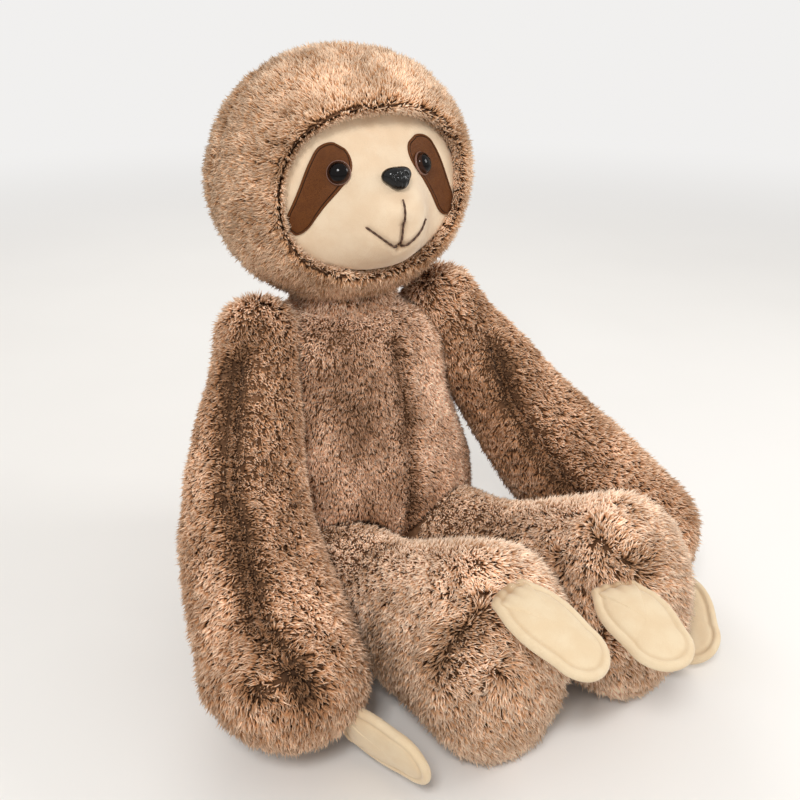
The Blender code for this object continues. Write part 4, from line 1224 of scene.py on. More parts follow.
@dataclass(frozen=True)
class Head:
    """The round furry head: a hood round the face."""

    face: Face = field(default_factory=Face)
    width: float = 0.280
    depth: float = 0.240
    height: float = 0.258
    pile: Pile = Pile(0.0108, 0.0014, (26, 60), (0.010, 0.0045), (0.38, 0.32), 0.20, 49000)
    creases: tuple[Crease, ...] = (
        *(Crease(mirrored(HEAD_SEAM, sign), 0.003, 0.006, 0.8, reach=0.009, dark=0.22)
          for sign in (-1, 1)),
        Crease(((-0.0032, -0.0092, 0.6073),), 0.006, 0.020, 0.6, 0.5, 0.012, 0.10),
    )
    # painted light: lighter on the crown and on the upper front of the toy's left
    pools: tuple[Pool, ...] = (Pool((0.0, 0.0, 0.615), 0.09, 0.10),
                               Pool((0.06, -0.06, 0.585), 0.06, 0.06))
    bare_behind: float = 0.060
    bare_at_neck: float = 0.052

    def surface(self) -> Surface:
        """Return the hood: from the recess behind the face, over its lip, round to the back.

        Each column leaves the face's outline at one angle. It runs forwards along the recess,
        turns over the lip and follows the ellipsoid (w sin t cos a, -d cos t, h sin t sin a)
        from the outline to the back.
        """
        centre = np.array(self.face.head_centre)
        half = np.array((self.width, self.depth, self.height)) / 2
        angles = math.tau * np.arange(200) / 200
        x, z = self.face.outline(angles, 0.0012)
        z = z - centre[2]
        out = np.sqrt((x / half[0]) ** 2 + (z / half[2]) ** 2)
        start = np.arcsin(np.clip(out, 0, 0.999))
        turn = np.arctan2(z / half[2], x / half[0])
        t = start + (math.pi - start) * (np.arange(140) / 140)[:, None]
        over = np.stack([half[0] * np.sin(t) * np.cos(turn), -half[1] * np.cos(t),
                         half[2] * np.sin(t) * np.sin(turn)], -1) + centre
        inner = centre[1] - (self.face.rim_ahead - self.face.recess) + 0.0008
        steps = np.linspace(0, 1, 17)[:-1, None]
        wall = np.stack([np.broadcast_to(x, (16, 200)), inner * (1 - steps) + over[0, :, 1] * steps,
                         np.broadcast_to(z + centre[2], (16, 200))], -1)
        share = np.linspace(0, 1, 8)[1:-1, None]
        floor = np.stack([x * share, np.full((6, 200), inner), z * share + centre[2]], -1)
        rows = soften(np.concatenate([floor, wall, over]), 24, 14, 34)
        return wrap(rows, np.array((0, inner, centre[2])), centre + np.array((0, half[1], 0)))

    def lie(self, points: Array) -> Array:
        """Return the way the fur lies: out and back from the face, and forwards over the lip."""
        near = self.near_face(points)[:, None]
        flat = (points - np.array(self.face.head_centre)) * np.array((1, 0, 1))
        back = flat * 6 + BACK * 0.6 - UP * 0.25
        return unit(back) * (1 - near) + (-BACK * 0.8 + unit(flat) * 0.35) * near

    def near_face(self, points: Array) -> Array:
        """Return 1 in the recess round the face, falling to 0 beyond its lip."""
        x = points[:, 0] / (self.face.width / 2)
        z = (points[:, 2] - self.face.middle) / (self.face.height / 2)
        out = (np.abs(x) ** 2.3 + np.abs(z) ** 2.3) ** (1 / 2.3)
        return np.where(points[:, 1] < self.face.head_centre[1] - 0.02,
                        np.clip((1.10 - out) / 0.08, 0, 1), 0.0)

    def build(self) -> None:
        """Make the skin and its fur, with none in the recess behind the face."""
        raw = self.surface()
        near = self.near_face(raw.points)
        skin = stuffed(raw, self.creases, 40)
        skin.points += (raw.points - skin.points) * near[:, None] * 0.6
        back_cloth("head_skin", skin, "head", ("head_cover", "head_stuffing"), self.creases)
        deep = (skin.points[:, 1] > self.face.head_centre[1] - self.bare_behind) & (near > 0.5)
        deep |= np.linalg.norm(skin.points - np.array(Neck.centre), axis=-1) < self.bare_at_neck
        keep = 1 - (skin.means(deep.astype(float)) > 0.01)
        grow_halves("head", skin, self.pile, Nap(self.lie, self.creases, self.pools, 0.52, 50), keep,
                    HEAD_FUR, lambda points: 1 - 0.25 * self.near_face(points))


def pillow_rows(outline: Array, middle: Array, edges: Array, inner: int) -> tuple[Array, Array]:
    """Return rings of a flat shape from its outline inwards, and their distance from the edge.

    The first rings lie at set distances inside the outline, along the lines to the middle. The
    rest share out what is left.

    Args:
        outline: Points of the closed outline, shaped (columns, 2).
        middle: The point that every part of the outline sees.
        edges: Distances from the edge.
        inner: Rings after those.

    Returns:
        The rings, shaped (rings, columns, 2), and the distances, shaped (rings, columns).
    """
    run = np.roll(outline, -1, axis=0) - np.roll(outline, 1, axis=0)
    out = unit(np.stack([run[:, 1], -run[:, 0]], -1))
    ray = outline - middle
    out *= np.sign(np.sum(out * ray, axis=-1, keepdims=True))
    support = np.maximum(np.sum(out * ray, axis=-1), 1e-4)
    support = np.maximum(support, edges[-1] * 1.05)
    shares = 1 - edges[:, None] / support
    last = shares[-1]
    inside = last * np.linspace(1, 0, inner + 2)[1:-1, None]
    shares = np.concatenate([shares, inside])
    return middle + ray * shares[..., None], (1 - shares) * support


def even_outline(points: Array, count: int) -> Array:
    """Return a closed outline resampled at even steps along its length."""
    closed = np.concatenate([points, points[:1]])
    run = np.concatenate([[0], np.cumsum(np.linalg.norm(np.diff(closed, axis=0), axis=-1))])
    marks = np.linspace(0, run[-1], count, endpoint=False)
    return np.stack([np.interp(marks, run, closed[:, axis]) for axis in (0, 1)], -1)


@dataclass(frozen=True)
class EyePatch:
    """One leather patch, from the eye out and down under the hood."""

    side: Side
    face: Face = field(default_factory=Face)
    eye_spacing: float = 0.090
    eye_rise: float = 0.025
    width: float = 0.036
    run_width: float = 0.0505
    drop: float = 0.0815
    rise: float = 0.025
    inner_offset: float = 0.005
    margin: float = 0.0028
    round: float = 0.018
    bend: float = 0.002
    end_share: float = 0.9
    thickness: float = 0.0016
    rows: tuple[Range, ...] = ((0, 1), (0.3, 1), (0.65, 0.78), (1, 0.66))

    def outline(self) -> Array:
        """Return the patch's outline: half widths on both sides of its middle line.

        The half width follows the table. Near each end it is scaled by
        sqrt(1 - (1 - near / ends)^2 * end_share), which rounds it.
        """
        along = (1 - np.cos(math.pi * np.arange(61) / 60)) / 2
        run = math.hypot(self.run_width, self.drop)
        half = self.width / 2 * table_curve(np.array(self.rows), along, 1)
        ends = self.round / run
        near = np.minimum(along, 1 - along)
        half *= np.where(near < ends, np.sqrt(1 - (1 - near / ends) ** 2 * self.end_share), 1)
        x = self.eye_spacing / 2 - self.inner_offset + self.run_width * along
        z = self.face.middle + self.eye_rise + self.rise - self.drop * along
        edges = []
        for sign, order in ((1, slice(None)), (-1, slice(None, None, -1))):
            offset = half * sign + self.bend * np.sin(math.pi * along)
            edges.append(np.stack([x + offset * self.drop / run,
                                   z + offset * self.run_width / run], -1)[order])
        points = np.concatenate(edges) * np.array((self.side.value, 1))
        flat = points - np.array((0, self.face.middle))
        power = self.face.outline_power
        reach = ((np.abs(flat[:, 0] / (self.face.width / 2 - self.margin)) ** power
                  + np.abs(flat[:, 1] / (self.face.height / 2 - self.margin)) ** power)
                 ** (1 / power))
        flat /= np.maximum(reach, 1)[:, None]
        return even_outline(flat + np.array((0, self.face.middle)), 168)

    def build(self) -> None:
        """Make the patch: a rolled edge, a stitched line inside it and a puffed middle."""
        outline = self.outline()
        edges = np.array([0, 0.15, 0.4, 0.8, 1.3, 1.8, 2.1, 2.35, 2.5, 2.65, 2.9, 3.3, 4.0, 5.0]) / 1000
        flat, edge = pillow_rows(outline, outline.mean(axis=0), edges, 8)
        roll = np.sqrt(1 - (1 - np.clip(edge / 0.0012, 0, 1)) ** 2)
        puff = 0.0007 * (1 - np.exp(-np.clip(edge - 0.0025, 0, None) / 0.004))
        sunk = 0.0007 * np.exp(-((edge - 0.0025) / 0.00035) ** 2)
        lift = 0.0004 + self.thickness * roll + puff - sunk
        lift += 0.0003 * lumps(self.face.place(flat[..., 0], flat[..., 1]), 0.012, 83)
        top = self.face.place(flat[..., 0], flat[..., 1], lift)
        under = self.face.place(flat[::4, :, 0], flat[::4, :, 1], 0.0001)
        middle = outline.mean(axis=0)
        poles = [self.face.spot(*middle, rise)[0] for rise in (0.0001, 0.0004 + self.thickness + 0.0007)]
        skin = wrap(np.concatenate([under[::-1], top]), poles[0], poles[1])
        piece = dress(skin.piece(f"{self.side.word}_patch_leather"), LEATHER, "head",
                      (f"{self.side.word}_eye_patch",))
        values = np.concatenate([edge[::4][::-1].ravel() * 0 + 50, edge.ravel() * 1000, [50, 50]])
        set_values(piece, "edge", values)


@dataclass(frozen=True)
class Eye:
    """One moulded eye: a low dome with a rim, set on the patch."""

    side: Side
    face: Face = field(default_factory=Face)
    spacing: float = 0.090
    rise: float = 0.025
    diameter: float = 0.024
    rim_thickness: float = 0.0025
    dome_height: float = 0.0075
    lift: float = 0.0024

    def build(self) -> None:
        """Make the eye by turning its profile: a flat back, a rounded rim and a dome."""
        radius = self.diameter / 2
        rim = np.linspace(0, math.pi, 13)[:-1]
        rim_radius = radius - 0.0009 + 0.0009 * np.sin(rim)
        rim_height = self.rim_thickness / 2 * (1 - np.cos(rim))
        angle = np.linspace(0, math.pi / 2, 34)[:-1]
        dome_radius = (radius - 0.0010) * np.cos(angle)
        dome_height = self.rim_thickness - 0.0002 + self.dome_height * np.sin(angle)
        back = np.linspace(0.3, 1, 4)[:-1] * (radius - 0.0009)
        radii = np.concatenate([back, rim_radius, dome_radius])
        heights = np.concatenate([np.zeros(3), rim_height, dome_height])
        base, facing = self.face.spot(self.side.value * self.spacing / 2, self.face.middle + self.rise,
                                      self.lift)
        across = unit(LEFT - facing * (LEFT @ facing))
        upright = np.cross(facing, across)
        turn = math.tau * np.arange(96) / 96
        rows = (base + radii[:, None, None] * (np.cos(turn)[:, None] * across
                                               + np.sin(turn)[:, None] * upright)
                + heights[:, None, None] * facing)
        top = base + facing * (self.rim_thickness - 0.0002 + self.dome_height)
        skin = wrap(rows, base, top)
        piece = dress(skin.piece(f"{self.side.word}_eye_dome"), EYES, "head",
                      (f"{self.side.word}_eye",))
        shares = np.repeat(radii / radius, 96)
        set_values(piece, "reach", np.concatenate([shares, [0.99, 0.0]]))


@dataclass(frozen=True)
class Nose:
    """The moulded nose: a rounded triangle, point down, with a cleft and two nostrils."""

    face: Face = field(default_factory=Face)
    rise: float = 0.019
    width: float = 0.030
    height: float = 0.023
    depth: float = 0.013
    edge: float = 0.003
    corner: float = 0.12
    lift: float = 0.0016

    def build(self) -> None:
        """Make the nose: rings of r = 1 + corner * cos(3 (a - 30 deg)), domed, with grooves."""
        count = 144
        angle = math.tau * np.arange(count) / count
        lobe = 1 + self.corner * np.cos(3 * (angle - math.pi / 6))
        base, facing = self.face.spot(0.0, self.face.middle + self.rise, self.lift)
        across = LEFT
        upright = np.cross(facing, across)
        rim = np.linspace(0, math.pi / 2, 8)[:-1]
        dome = np.linspace(0, math.pi / 2, 30)[:-1]
        reach = np.concatenate([np.linspace(0.3, 0.9, 4), 0.94 + 0.06 * np.sin(rim),
                                np.cos(dome) ** 0.8])
        height = np.concatenate([np.zeros(4), self.edge * (1 - np.cos(rim)) * 0.9,
                                 self.edge + (self.depth - self.edge) * np.sin(dome)])
        flat_x = self.width / 2 * reach[:, None] * lobe * np.cos(angle)
        flat_z = self.height / 2 * reach[:, None] * lobe * np.sin(angle)
        rows_height = height[:, None] + 0 * flat_x
        cleft = np.exp(-(flat_x / 0.0011) ** 2) * np.clip((0.001 - flat_z) / 0.004, 0, 1)
        nostril = np.exp(-((np.abs(flat_x) - 0.0058) ** 2 + (flat_z + 0.0022) ** 2) / 0.0021**2)
        wing = np.exp(-((np.abs(flat_x) - 0.0075 - 0.35 * (flat_z + 0.004)) / 0.0010) ** 2)
        wing *= np.clip((-0.0018 - flat_z) / 0.002, 0, 1)
        top = (height > self.edge * 0.8)[:, None]
        rows_height -= top * (0.0016 * cleft + 0.0022 * nostril + 0.0014 * wing)
        rows = (base + flat_x[..., None] * across + flat_z[..., None] * upright
                + rows_height[..., None] * facing)
        skin = wrap(rows, base, base + facing * self.depth)
        dress(skin.piece("nose_button"), NOSE, "head", ("nose",))


@dataclass(frozen=True)
class Mouth:
    """The stitched mouth: an upright thread and one curving up on each side."""

    face: Face = field(default_factory=Face)
    top_drop: float = -0.004
    length: float = 0.050
    half_width: float = 0.034
    start: float = 0.0019
    curl: float = 0.024
    curve_power: float = 1.2
    radius: float = 0.0010
    rest: float = 0.0006

    def thread(self, name: str, x: Array, z: Array, node: str) -> None:
        """Make one twisted thread on the face: a tube whose radius is r (1 + 0.16 cos 2(a - twist))."""
        centres = self.face.place(x, z, -self.face.dent(x, z) + self.rest + self.radius * 0.5)
        along = unit(np.gradient(centres, axis=0))
        out = self.face.normal(x, z)
        side = unit(np.cross(along, out))
        out = np.cross(side, along)
        run = np.concatenate([[0], np.cumsum(np.linalg.norm(np.diff(centres, axis=0), axis=-1))])
        turn = math.tau * np.arange(14)[None] / 14
        strand = np.cos(2 * (turn - run[:, None] / 0.0022))
        taper = np.sqrt(np.clip(np.minimum(run, run[-1] - run) / 0.001, 0.08, 1))[:, None]
        radius = self.radius * (1 + 0.16 * strand) * taper
        rows = (centres[:, None] + (radius * np.cos(turn))[..., None] * side[:, None]
                + (radius * np.sin(turn))[..., None] * out[:, None])
        skin = wrap(rows, centres[0], centres[-1])
        piece = dress(skin.piece(name), THREAD, "head", (node,))
        # strand value: 1 on a strand, 0 in the grooves, where the thread's material paints shade
        set_values(piece, "strand", np.concatenate([(strand * 0.5 + 0.5).ravel(), [0.5, 0.5]]))

    def build(self) -> None:
        """Make the three threads."""
        top = self.face.middle - self.top_drop
        foot = top - self.length
        t = np.linspace(0, 1, 160)
        self.thread("mouth_upright_thread", 0 * t, top - self.length * t, "mouth_upright_stitch")
        for side in Side:
            x = side.value * (self.start + (self.half_width - self.start) * t)
            self.thread(f"mouth_{side.word}_thread", x, foot + self.curl * t**self.curve_power,
                        f"mouth_{side.word}_stitch")


LIMB_PILE = Pile(0.0104, 0.0015, (24, 58), (0.010, 0.0045), (0.38, 0.32), 0.20, 49000)
LUMP_SEEDS = {"arm": 60, "leg": 90}


def turned(vector: Array, axis: Array, angle: float) -> Array:
    """Return a vector turned about an axis through the origin, by Rodrigues' formula."""
    return (vector * math.cos(angle) + np.cross(axis, vector) * math.sin(angle)
            + axis * (axis @ vector) * (1 - math.cos(angle)))


@dataclass(frozen=True)
class Limb:
    """What an arm and a leg share: a stuffed fur sleeve that swings at the torso."""

    side: Side
    degrees: Range | float
    creases: tuple[Crease, ...]

    def form(self) -> Form:
        """Return the stuffed form."""
        raise NotImplementedError

    def sleeve(self, torso: Form, kind: str, rings: tuple[int, int, int], nap: Nap,
               finish: FurFinish, lengths: Callable[[Array], Array]) -> None:
        """Make the skin and its fur, with none inside the torso or under the limb.

        Args:
            torso: The torso's form.
            kind: The word for the limb in the CAD names.
            rings: Rings over each end and along the shaft, and points round a section.
            nap: How the fur lies, with a seed to which the side's number is added.
            finish: The fur's finish.
            lengths: Turns roots into shares of the pile's length.
        """
        name = f"{self.side.word}_{kind}"
        raw = self.form().surface(*rings)
        creases = snapped(self.creases, raw)
        skin = stuffed(raw, creases, LUMP_SEEDS[kind] + self.side.value)
        back_cloth(f"{name}_skin", skin, name, (f"{name}_cover", f"{name}_stuffing"), creases)
        hidden = torso.holds(skin.points, 0.002) | (skin.points[:, 2] < UNDERSIDE)
        keep = 1 - (skin.means(hidden.astype(float)) > 0.5)
        nap = replace(nap, creases=creases, seed=nap.seed + self.side.value)
        dress(grow_fur(f"{name}_fur", skin, LIMB_PILE, nap, keep, lengths), finish, name)


@dataclass(frozen=True)
class Arm(Limb):
    """One long arm, from its round shoulder to its hand."""

    swing_turn: float = 0.0
    span: float = 0.226
    shoulder_height: float = 0.330
    shoulder_diameter: float = 0.084
    elbow: float = 0.108
    hand: Range = (0.144, 0.160)
    length: float = 0.451
    hand_round: float = 0.070
    sag: float = 0.040
    side_bow: float = 0.018
    swing: float = 95.0
    room_growth: float = 0.018
    rows: tuple[tuple[float, ...], ...] = ((0, 1, 0, 0), (0.3, 0, 1, 0), (0.65, 0, 0.35, 0.65),
                                           (1, 0, 0, 1))

    def shoulder(self) -> Array:
        """Return the middle of the shoulder."""
        return np.array((self.side.value * self.span / 2, 0, self.shoulder_height))

    def axes(self) -> tuple[Array, Array, Array]:
        """Return the directions along, across and upright of the arm."""
        forward, splay = np.radians(self.degrees)
        swing = -UP * math.cos(forward) - BACK * math.sin(forward)
        out = LEFT * self.side.value
        return (swing * math.cos(splay) + out * math.sin(splay),
                out * math.cos(splay) - swing * math.sin(splay),
                -BACK * math.cos(forward) + UP * math.sin(forward))

    def form(self) -> Form:
        """Return the form, bowed by sin(pi d / length)^2 outwards and down."""
        along, across, upright = self.axes()
        start = self.shoulder() - along * self.shoulder_diameter / 2
        lean = across * self.side_bow - upright * self.sag

        def centre(distances: Array) -> Array:
            bow = np.sin(math.pi * distances / self.length) ** 2
            return start + distances[:, None] * along + bow[:, None] * lean

        sizes = np.array([(self.shoulder_diameter,) * 2, (self.elbow,) * 2, self.hand])
        return Form(centre, across, upright, self.length,
                    weighted_sizes(np.array(self.rows), sizes),
                    (self.shoulder_diameter / 2, self.hand_round))

    def rooms(self) -> Array:
        """Return balls that fill the arm's way from where it lies to its highest angle."""
        turn = math.radians(self.swing_turn)
        axis = LEFT * math.cos(turn) + BACK * math.sin(turn)
        centre = self.shoulder()
        reach = self.form().centre(np.array([self.length * 0.42]))[0] - centre
        balls = []
        for angle in np.radians(np.linspace(-self.swing, 0, 9)):
            way = turned(reach, axis, angle)
            for share in np.linspace(0, 1, 10):
                radius = self.shoulder_diameter / 2 + ROOM_GAP + share * self.room_growth
                balls.append((*(centre + way * share), radius))
        return np.array(balls)

    def build(self, torso: Form) -> None:
        """Make the arm, whose fur is longer on the shoulder and lengthens to the hand."""
        shoulder, along = self.shoulder(), self.axes()[0]

        def lengths(points: Array) -> Array:
            reach = (points - shoulder) @ along
            return (0.82 + 0.46 * np.clip((reach - 0.12) / 0.25, 0, 1)
                    + 0.35 * np.clip(1 - (reach + 0.02) / 0.05, 0, 1))

        nap = Nap(lambda points: along + 0.0 * points, tone=0.50, seed=81)
        self.sleeve(torso, "arm", (20, 90, 96), nap, SHADED_ARM_FUR, lengths)


@dataclass(frozen=True)
class Leg(Limb):
    """One leg, lying forwards, from its hip to the blunt front of its foot."""

    # painted light on the top of the foot
    pools: tuple[Pool, ...] = ()
    hip_span: float = 0.140
    hip_ahead: float = 0.085
    hip_diameter: float = 0.136
    ankle: float = 0.126
    foot: Range = (0.156, 0.208)
    length: float = 0.297
    foot_round: float = 0.060
    sunk: float = 0.0005
    swing: Range = (-7.0, 5.0)
    rows: tuple[tuple[float, ...], ...] = ((0, 1, 0, 0), (0.35, 0, 1, 0), (0.65, 0, 0.6, 0.4),
                                           (1, 0, 0, 1))

    def hip(self) -> Array:
        """Return the middle of the hip."""
        return np.array((self.side.value * self.hip_span / 2, -self.hip_ahead,
                         self.hip_diameter / 2 - self.sunk))

    def axes(self) -> tuple[Array, Array, Array]:
        """Return the directions along, across and upright of the leg."""
        rise = math.asin((self.foot[1] - self.hip_diameter) / 2 / (self.length - self.foot_round))
        turn = math.radians(self.degrees)
        level = -BACK * math.cos(turn) + LEFT * math.sin(turn)
        return (level * math.cos(rise) + UP * math.sin(rise),
                -BACK * math.sin(turn) - LEFT * math.cos(turn),
                UP * math.cos(rise) - level * math.sin(rise))

    def form(self) -> Form:
        """Return the straight form."""
        along, across, upright = self.axes()
        start = self.hip() - along * self.hip_diameter / 2
        sizes = np.array([(self.hip_diameter,) * 2, (self.ankle,) * 2, self.foot])
        return Form(lambda distances: start + distances[:, None] * along, across, upright,
                    self.length + self.hip_diameter / 2,
                    weighted_sizes(np.array(self.rows), sizes),
                    (self.hip_diameter / 2, self.foot_round))

    def rooms(self) -> Array:
        """Return balls that fill the leg's way from its highest angle to its lowest."""
        along = self.axes()[0]
        balls = []
        for angle in np.radians(np.linspace(*self.swing, 5)):
            for reach in np.linspace(0, 0.16, 7):
                place = self.hip() + turned(along, LEFT, angle) * reach
                balls.append((*place, self.hip_diameter / 2 + ROOM_GAP))
        return np.array(balls)

    def build(self, torso: Form) -> None:
        """Make the leg, whose fur is longest on the foot."""
        hip, along = self.hip(), self.axes()[0]

        def lengths(points: Array) -> Array:
            return 0.80 + 0.45 * np.clip(((points - hip) @ along - 0.08) / 0.10, 0, 1)

        nap = Nap(lambda points: along * 0.5 - UP * 0.6 + 0.0 * points, (), self.pools, 0.56, 101)
        self.sleeve(torso, "leg", (24, 70, 108), nap, LEG_FUR, lengths)


@dataclass(frozen=True)
class Claw:
    """One stuffed claw: a flat tongue with a thick welt round its edge."""

    name: str
    along: Point
    length: float = 0.112
    width: float = 0.070
    thickness: float = 0.018
    base: float = 0.014
    curve: float = 0.008
    tip_round: float = 0.030
    welt: float = 0.0046
    rows: tuple[Point, ...] = ((0, 0.70, 0.78), (0.3, 0.94, 1), (0.6, 1, 0.86), (1, 0.88, 0.62))

    def joint(self) -> dict:
        """Return the claw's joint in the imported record."""
        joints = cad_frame["record"]["behaviour"]["joints"]
        return next(joint for joint in joints if joint["name"] == f"{self.name}_flap")

    def outline(self) -> Array:
        """Return the outline of the tongue, rounded at its base and its tip."""
        base = self.base / 2
        d = np.concatenate([base * (1 - np.cos(math.pi / 2 * np.arange(1, 12) / 12)),
                            np.linspace(base, self.length - self.tip_round, 60),
                            self.length - self.tip_round
                            * (1 - np.sin(math.pi / 2 * np.arange(1, 30) / 30))])
        share = np.clip((d - base) / (self.length - base - self.tip_round), 0, 1)
        half = table_curve(np.array(self.rows), share, 1) * self.width / 2
        near = np.clip(d / base, 0, 1)
        far = np.clip((self.length - d) / self.tip_round, 0, 1)
        half *= np.sqrt(1 - (1 - near) ** 2) * np.sqrt(1 - (1 - far) ** 2)
        points = np.concatenate([np.stack([d, half], -1), [[self.length, 0]],
                                 np.stack([d, -half], -1)[::-1], [[0, 0]]])
        return even_outline(points, 180)

    def build(self) -> None:
        """Make the claw.

        Its half thickness grows from the edge as the welt's circle, sqrt(w^2 - (w - e)^2), falls
        into a groove and rises again to a nearly flat middle. The tongue bends down by
        curve * (d / length)^2 and is pinched at its base.
        """
        joint = self.joint()
        root, across = np.array(joint["pos_m"], float), unit(np.array(joint["axis"], float))
        along = unit(np.array(self.along))
        upright = np.cross(along, across)
        if upright @ UP < 0:
            upright = -upright
        outline = self.outline()
        w = self.welt
        edges = w * np.array([0.0, 0.03, 0.1, 0.22, 0.4, 0.6, 0.85, 1.1, 1.35, 1.6, 1.8, 2.0, 2.3,
                              2.7, 3.2])
        middle = np.array((self.length * 0.53, 0.0))
        flat, edge = pillow_rows(outline, middle, edges, 16)
        d, x = flat[..., 0], flat[..., 1]
        ring = np.sqrt(np.maximum(w**2 - (w - np.minimum(edge, w * 1.55)) ** 2, 0))
        far = np.clip(d / self.length, 0, 1)
        fat = self.thickness / 2 * table_curve(np.array(self.rows), far.ravel(), 2).reshape(far.shape)
        middle_rise = 1 - np.exp(-np.clip(edge - 1.55 * w, 0, None) / 0.009)
        groove = ring - 0.0008 * np.exp(-((edge - 1.8 * w) / (0.4 * w)) ** 2)
        top = groove + (fat * 1.02 - w * 0.9) * middle_rise
        under = groove + (fat - w * 0.85) * middle_rise
        pinch = np.exp(-(x / 0.004) ** 2 - (d / 0.016) ** 2)
        pinch = pinch + 0.7 * np.exp(-((np.abs(x) - 0.013) / 0.003) ** 2 - (d / 0.013) ** 2)
        top = np.maximum(top - 0.0030 * pinch, ring * 0.35)
        folds = 0.0004 * lumps(np.stack([d, x, 0 * d], -1), 0.016, len(self.name))
        bend = self.curve * (d / self.length) ** 2
        spine = (root + (d - self.base / 2)[..., None] * along + x[..., None] * across
                 - bend[..., None] * upright)
        over = spine + (top + folds)[..., None] * upright
        below = spine - (under - folds)[..., None] * upright
        over[0] = below[0] = spine[0]
        m = middle[0]
        stem = root + (m - self.base / 2) * along - self.curve * (m / self.length) ** 2 * upright
        rows = np.concatenate([below[::-1], over[1:]])
        skin = wrap(rows, stem - under[-1].mean() * upright, stem + top[-1].mean() * upright)
        piece = dress(skin.piece(f"{self.name}_plush"), CLAW_PLUSH, self.name,
                      (f"{self.name}_cover", f"{self.name}_stuffing"))
        shade = np.clip(0.28 * np.exp(-((edge - 1.8 * w) / (0.30 * w)) ** 2)
                        + 0.6 * np.clip(pinch, 0, 1) + 0.7 * np.exp(-(d / 0.010) ** 2), 0, 1)
        values = np.concatenate([shade[::-1].ravel(), shade[1:].ravel(), [0, 0]])
        set_values(piece, "dent", values)


def carry_over(node: str, finish: Finish) -> None:
    """Give a CAD node that stays its better material."""
    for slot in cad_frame["nodes"][node].material_slots:
        slot.material = finish.material()
    log.info("%s keeps its solid", node)


# ---- studio ----


@dataclass(frozen=True)
class Studio:
    """The camera, the pale floor and the soft light."""

    camera_place: Point = (-0.478, -0.930, 0.700)
    camera_degrees: Point = (65.9, 0.0, -30.0)
    lens: float = 45.0
    floor_size: float = 80.0
    plain_from: Range = (1.0, 3.2)
    world_strength: float = 0.62
    background: Colour = (0.88, 0.87, 0.86)
    lamps: tuple[tuple[Point, float, float], ...] = (
        ((-1.1, -1.5, 1.9), 0.5, 30.0), ((1.5, -1.0, 1.3), 0.6, 13.0), ((0.4, 1.6, 1.8), 1.0, 12.0))

    def camera(self) -> None:
        """Set the camera at the photograph's viewing angle."""
        data = bpy.data.cameras.new("camera")
        data.sensor_width = 36.0
        data.lens = self.lens
        camera = bpy.data.objects.new("camera", data)
        camera.location = self.camera_place
        camera.rotation_euler = [math.radians(angle) for angle in self.camera_degrees]
        bpy.context.scene.collection.objects.link(camera)
        bpy.context.scene.camera = camera

    def floor(self) -> None:
        """Lay the pale floor just under the toy; it takes shadows near, and is plain further off."""
        half = self.floor_size / 2
        corners = np.array([(-half, -half, -0.0006), (half, -half, -0.0006), (half, half, -0.0006),
                            (-half, half, -0.0006)])
        floor = mesh_piece("floor", corners, np.array([(0, 1, 2), (0, 2, 3)]))
        material, n, shader = start_material("pale floor")
        place = n.place()
        n.put(shader.inputs["Base Color"],
              n.mix(n.noise(place, 3.0), (0.80, 0.78, 0.75), (0.84, 0.82, 0.79)))
        shader.inputs["Roughness"].default_value = 0.9
        plain = n.add("Emission", Color=(*self.background, 1), Strength=1.0)
        away = n.add("VectorMath", {"operation": "LENGTH"})
        n.put(away.inputs[0], place)
        share = n.maths("MULTIPLY", n.span(away.outputs["Value"], self.plain_from, (0, 1), True),
                        n.add("LightPath").outputs["Is Camera Ray"])
        both = n.add("MixShader")
        for socket, value in zip(both.inputs, (share, shader.outputs[0], plain.outputs[0])):
            n.put(socket, value)
        n.put(material.node_tree.nodes["Material Output"].inputs["Surface"], both.outputs[0])
        floor.data.materials.append(material)

    def lights(self) -> None:
        """Hang the soft lamps, and give the world its plain level and a pale background."""
        for k, (place, size, power) in enumerate(self.lamps):
            data = bpy.data.lights.new(f"lamp {k}", "AREA")
            data.size = size
            data.energy = power
            lamp = bpy.data.objects.new(f"lamp {k}", data)
            lamp.location = place
            way = np.array((0, 0, 0.25)) - np.array(place)
            lamp.rotation_euler = (math.acos(-way[2] / np.linalg.norm(way)), 0,
                                   math.atan2(way[1], way[0]) - math.pi / 2)
            bpy.context.scene.collection.objects.link(lamp)
        world = bpy.data.worlds.new("studio")
        world.use_nodes = True
        bpy.context.scene.world = world
        n = Nodes(world.node_tree)
        ground = world.node_tree.nodes["Background"]
        path = n.add("LightPath")
        seen = n.maths("MAXIMUM", path.outputs["Is Camera Ray"],
                       n.maths("MAXIMUM", path.outputs["Is Glossy Ray"],
                               path.outputs["Is Transmission Ray"]))
        n.put(ground.inputs["Color"], n.mix(seen, (1.0, 0.985, 0.965), self.background))
        n.put(ground.inputs["Strength"], n.span(seen, (0, 1), (self.world_strength, 1.0)))

    def build(self) -> None:
        """Set the camera, the floor, the lights and the plain view."""
        self.camera()
        self.floor()
        self.lights()
        bpy.context.scene.view_settings.view_transform = "Standard"


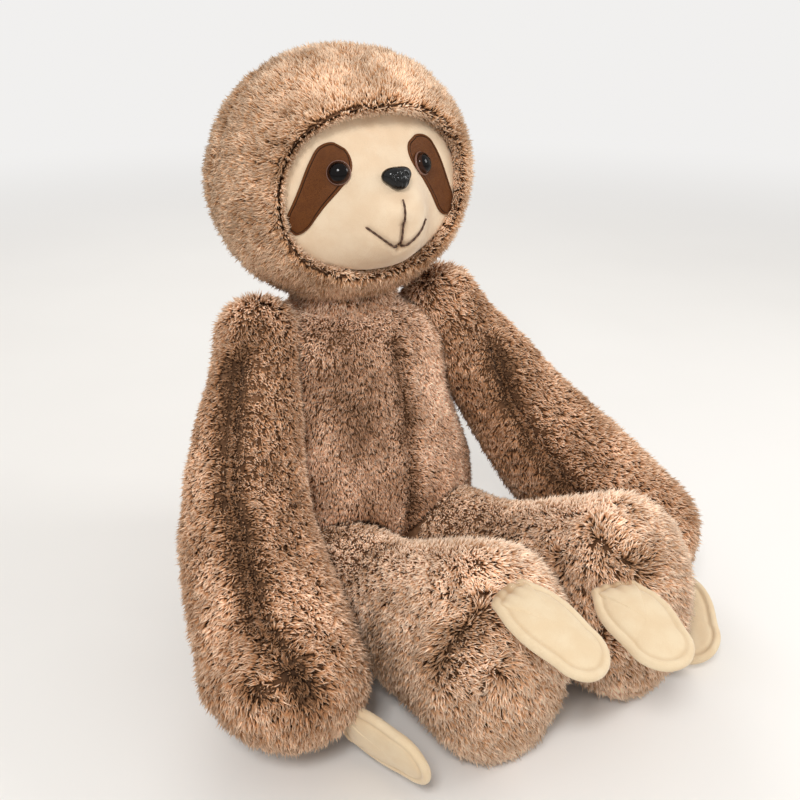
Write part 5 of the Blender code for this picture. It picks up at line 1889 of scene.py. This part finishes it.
RIGHT_ARM = Arm(Side.RIGHT, (45.3, 14.0), (
    Crease(((-0.1522, -0.0384, 0.318), (-0.1813, -0.0827, 0.2587), (-0.2018, -0.1232, 0.2202),
            (-0.2057, -0.1533, 0.2039), (-0.2125, -0.1893, 0.1856), (-0.2247, -0.2344, 0.1632),
            (-0.2164, -0.2749, 0.1493), (-0.2067, -0.2966, 0.1252)), 0.008, 0.008, dark=0.8),
    Crease(((-0.2406, -0.2823, 0.1237),), 0.003, 0.006, 1.0, 0.9, 0.016, 0.3)))
LEFT_ARM = Arm(Side.LEFT, (39.9, 23.5), (
    Crease(((0.1471, -0.0578, 0.2848), (0.1548, -0.0826, 0.2299), (0.1714, -0.1156, 0.1886),
            (0.184, -0.1582, 0.1531), (0.1963, -0.208, 0.1227)), 0.008, 0.008, dark=0.75),), 30.0)
RIGHT_LEG = Leg(Side.RIGHT, 11.5, (
    Crease(((-0.0595, -0.341, 0.1756), (-0.0819, -0.3397, 0.1534), (-0.0954, -0.3343, 0.1204)),
           0.004, 0.007, 1.0, 0.8, 0.013, 0.35),
    Crease(((-0.0553, -0.367, 0.1271),), 0.003, 0.006, 1.0, -0.8, 0.012, 0.3),
    Crease(((-0.1059, -0.1223, 0.1203),), 0.004, 0.010, 0.8, 0.0, 0.014, 0.3)),
    # painted light on the top of the right foot
    (Pool((0.0178, -0.3179, 0.1853), 0.055, 0.26),))
LEFT_LEG = Leg(Side.LEFT, 17.6, (
    Crease(((0.0972, -0.3046, 0.1891), (0.0992, -0.3328, 0.177), (0.1168, -0.3478, 0.1685)),
           0.004, 0.007, 1.0, 0.8, 0.013, 0.35),
    Crease(((0.0756, -0.2888, 0.1599),), 0.003, 0.008, 1.0, -0.8, 0.012, 0.25),
    Crease(((0.0767, -0.3461, 0.0967),), 0.003, 0.007, 1.0, 0.8, 0.012, 0.3)),
    # painted light on the top of the left foot
    (Pool((0.12, -0.30, 0.1853), 0.05, 0.18),))
CLAWS = (Claw("right_hand_claw", (0.357, -0.93003, 0.08716)),
         Claw("left_hand_claw", (-0.391, -0.8782, -0.2756)),
         Claw("right_foot_claw", (0.3563, -0.8818, -0.309)),
         Claw("left_foot_claw", (-0.1388, -0.9879, -0.0698)))

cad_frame: dict = {}


def main() -> None:
    """Load the frame and dress the sloth from its seat up."""
    logging.basicConfig(level=logging.INFO, format="%(message)s")
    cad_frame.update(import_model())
    Studio().build()
    torso = Torso()
    limbs = (RIGHT_ARM, LEFT_ARM, RIGHT_LEG, LEFT_LEG)
    torso.build(np.concatenate([limb.rooms() for limb in limbs]))
    Neck().build()
    Head().build()
    Face().build()
    for side in Side:
        EyePatch(side).build()
        Eye(side).build()
        carry_over(f"{side.word}_eye_washer", WASHERS)
    Nose().build()
    carry_over("nose_washer", WASHERS)
    Mouth().build()
    for limb in limbs:
        limb.build(torso.form())
    for claw in CLAWS:
        claw.build()


if __name__ == "__main__":
    main()
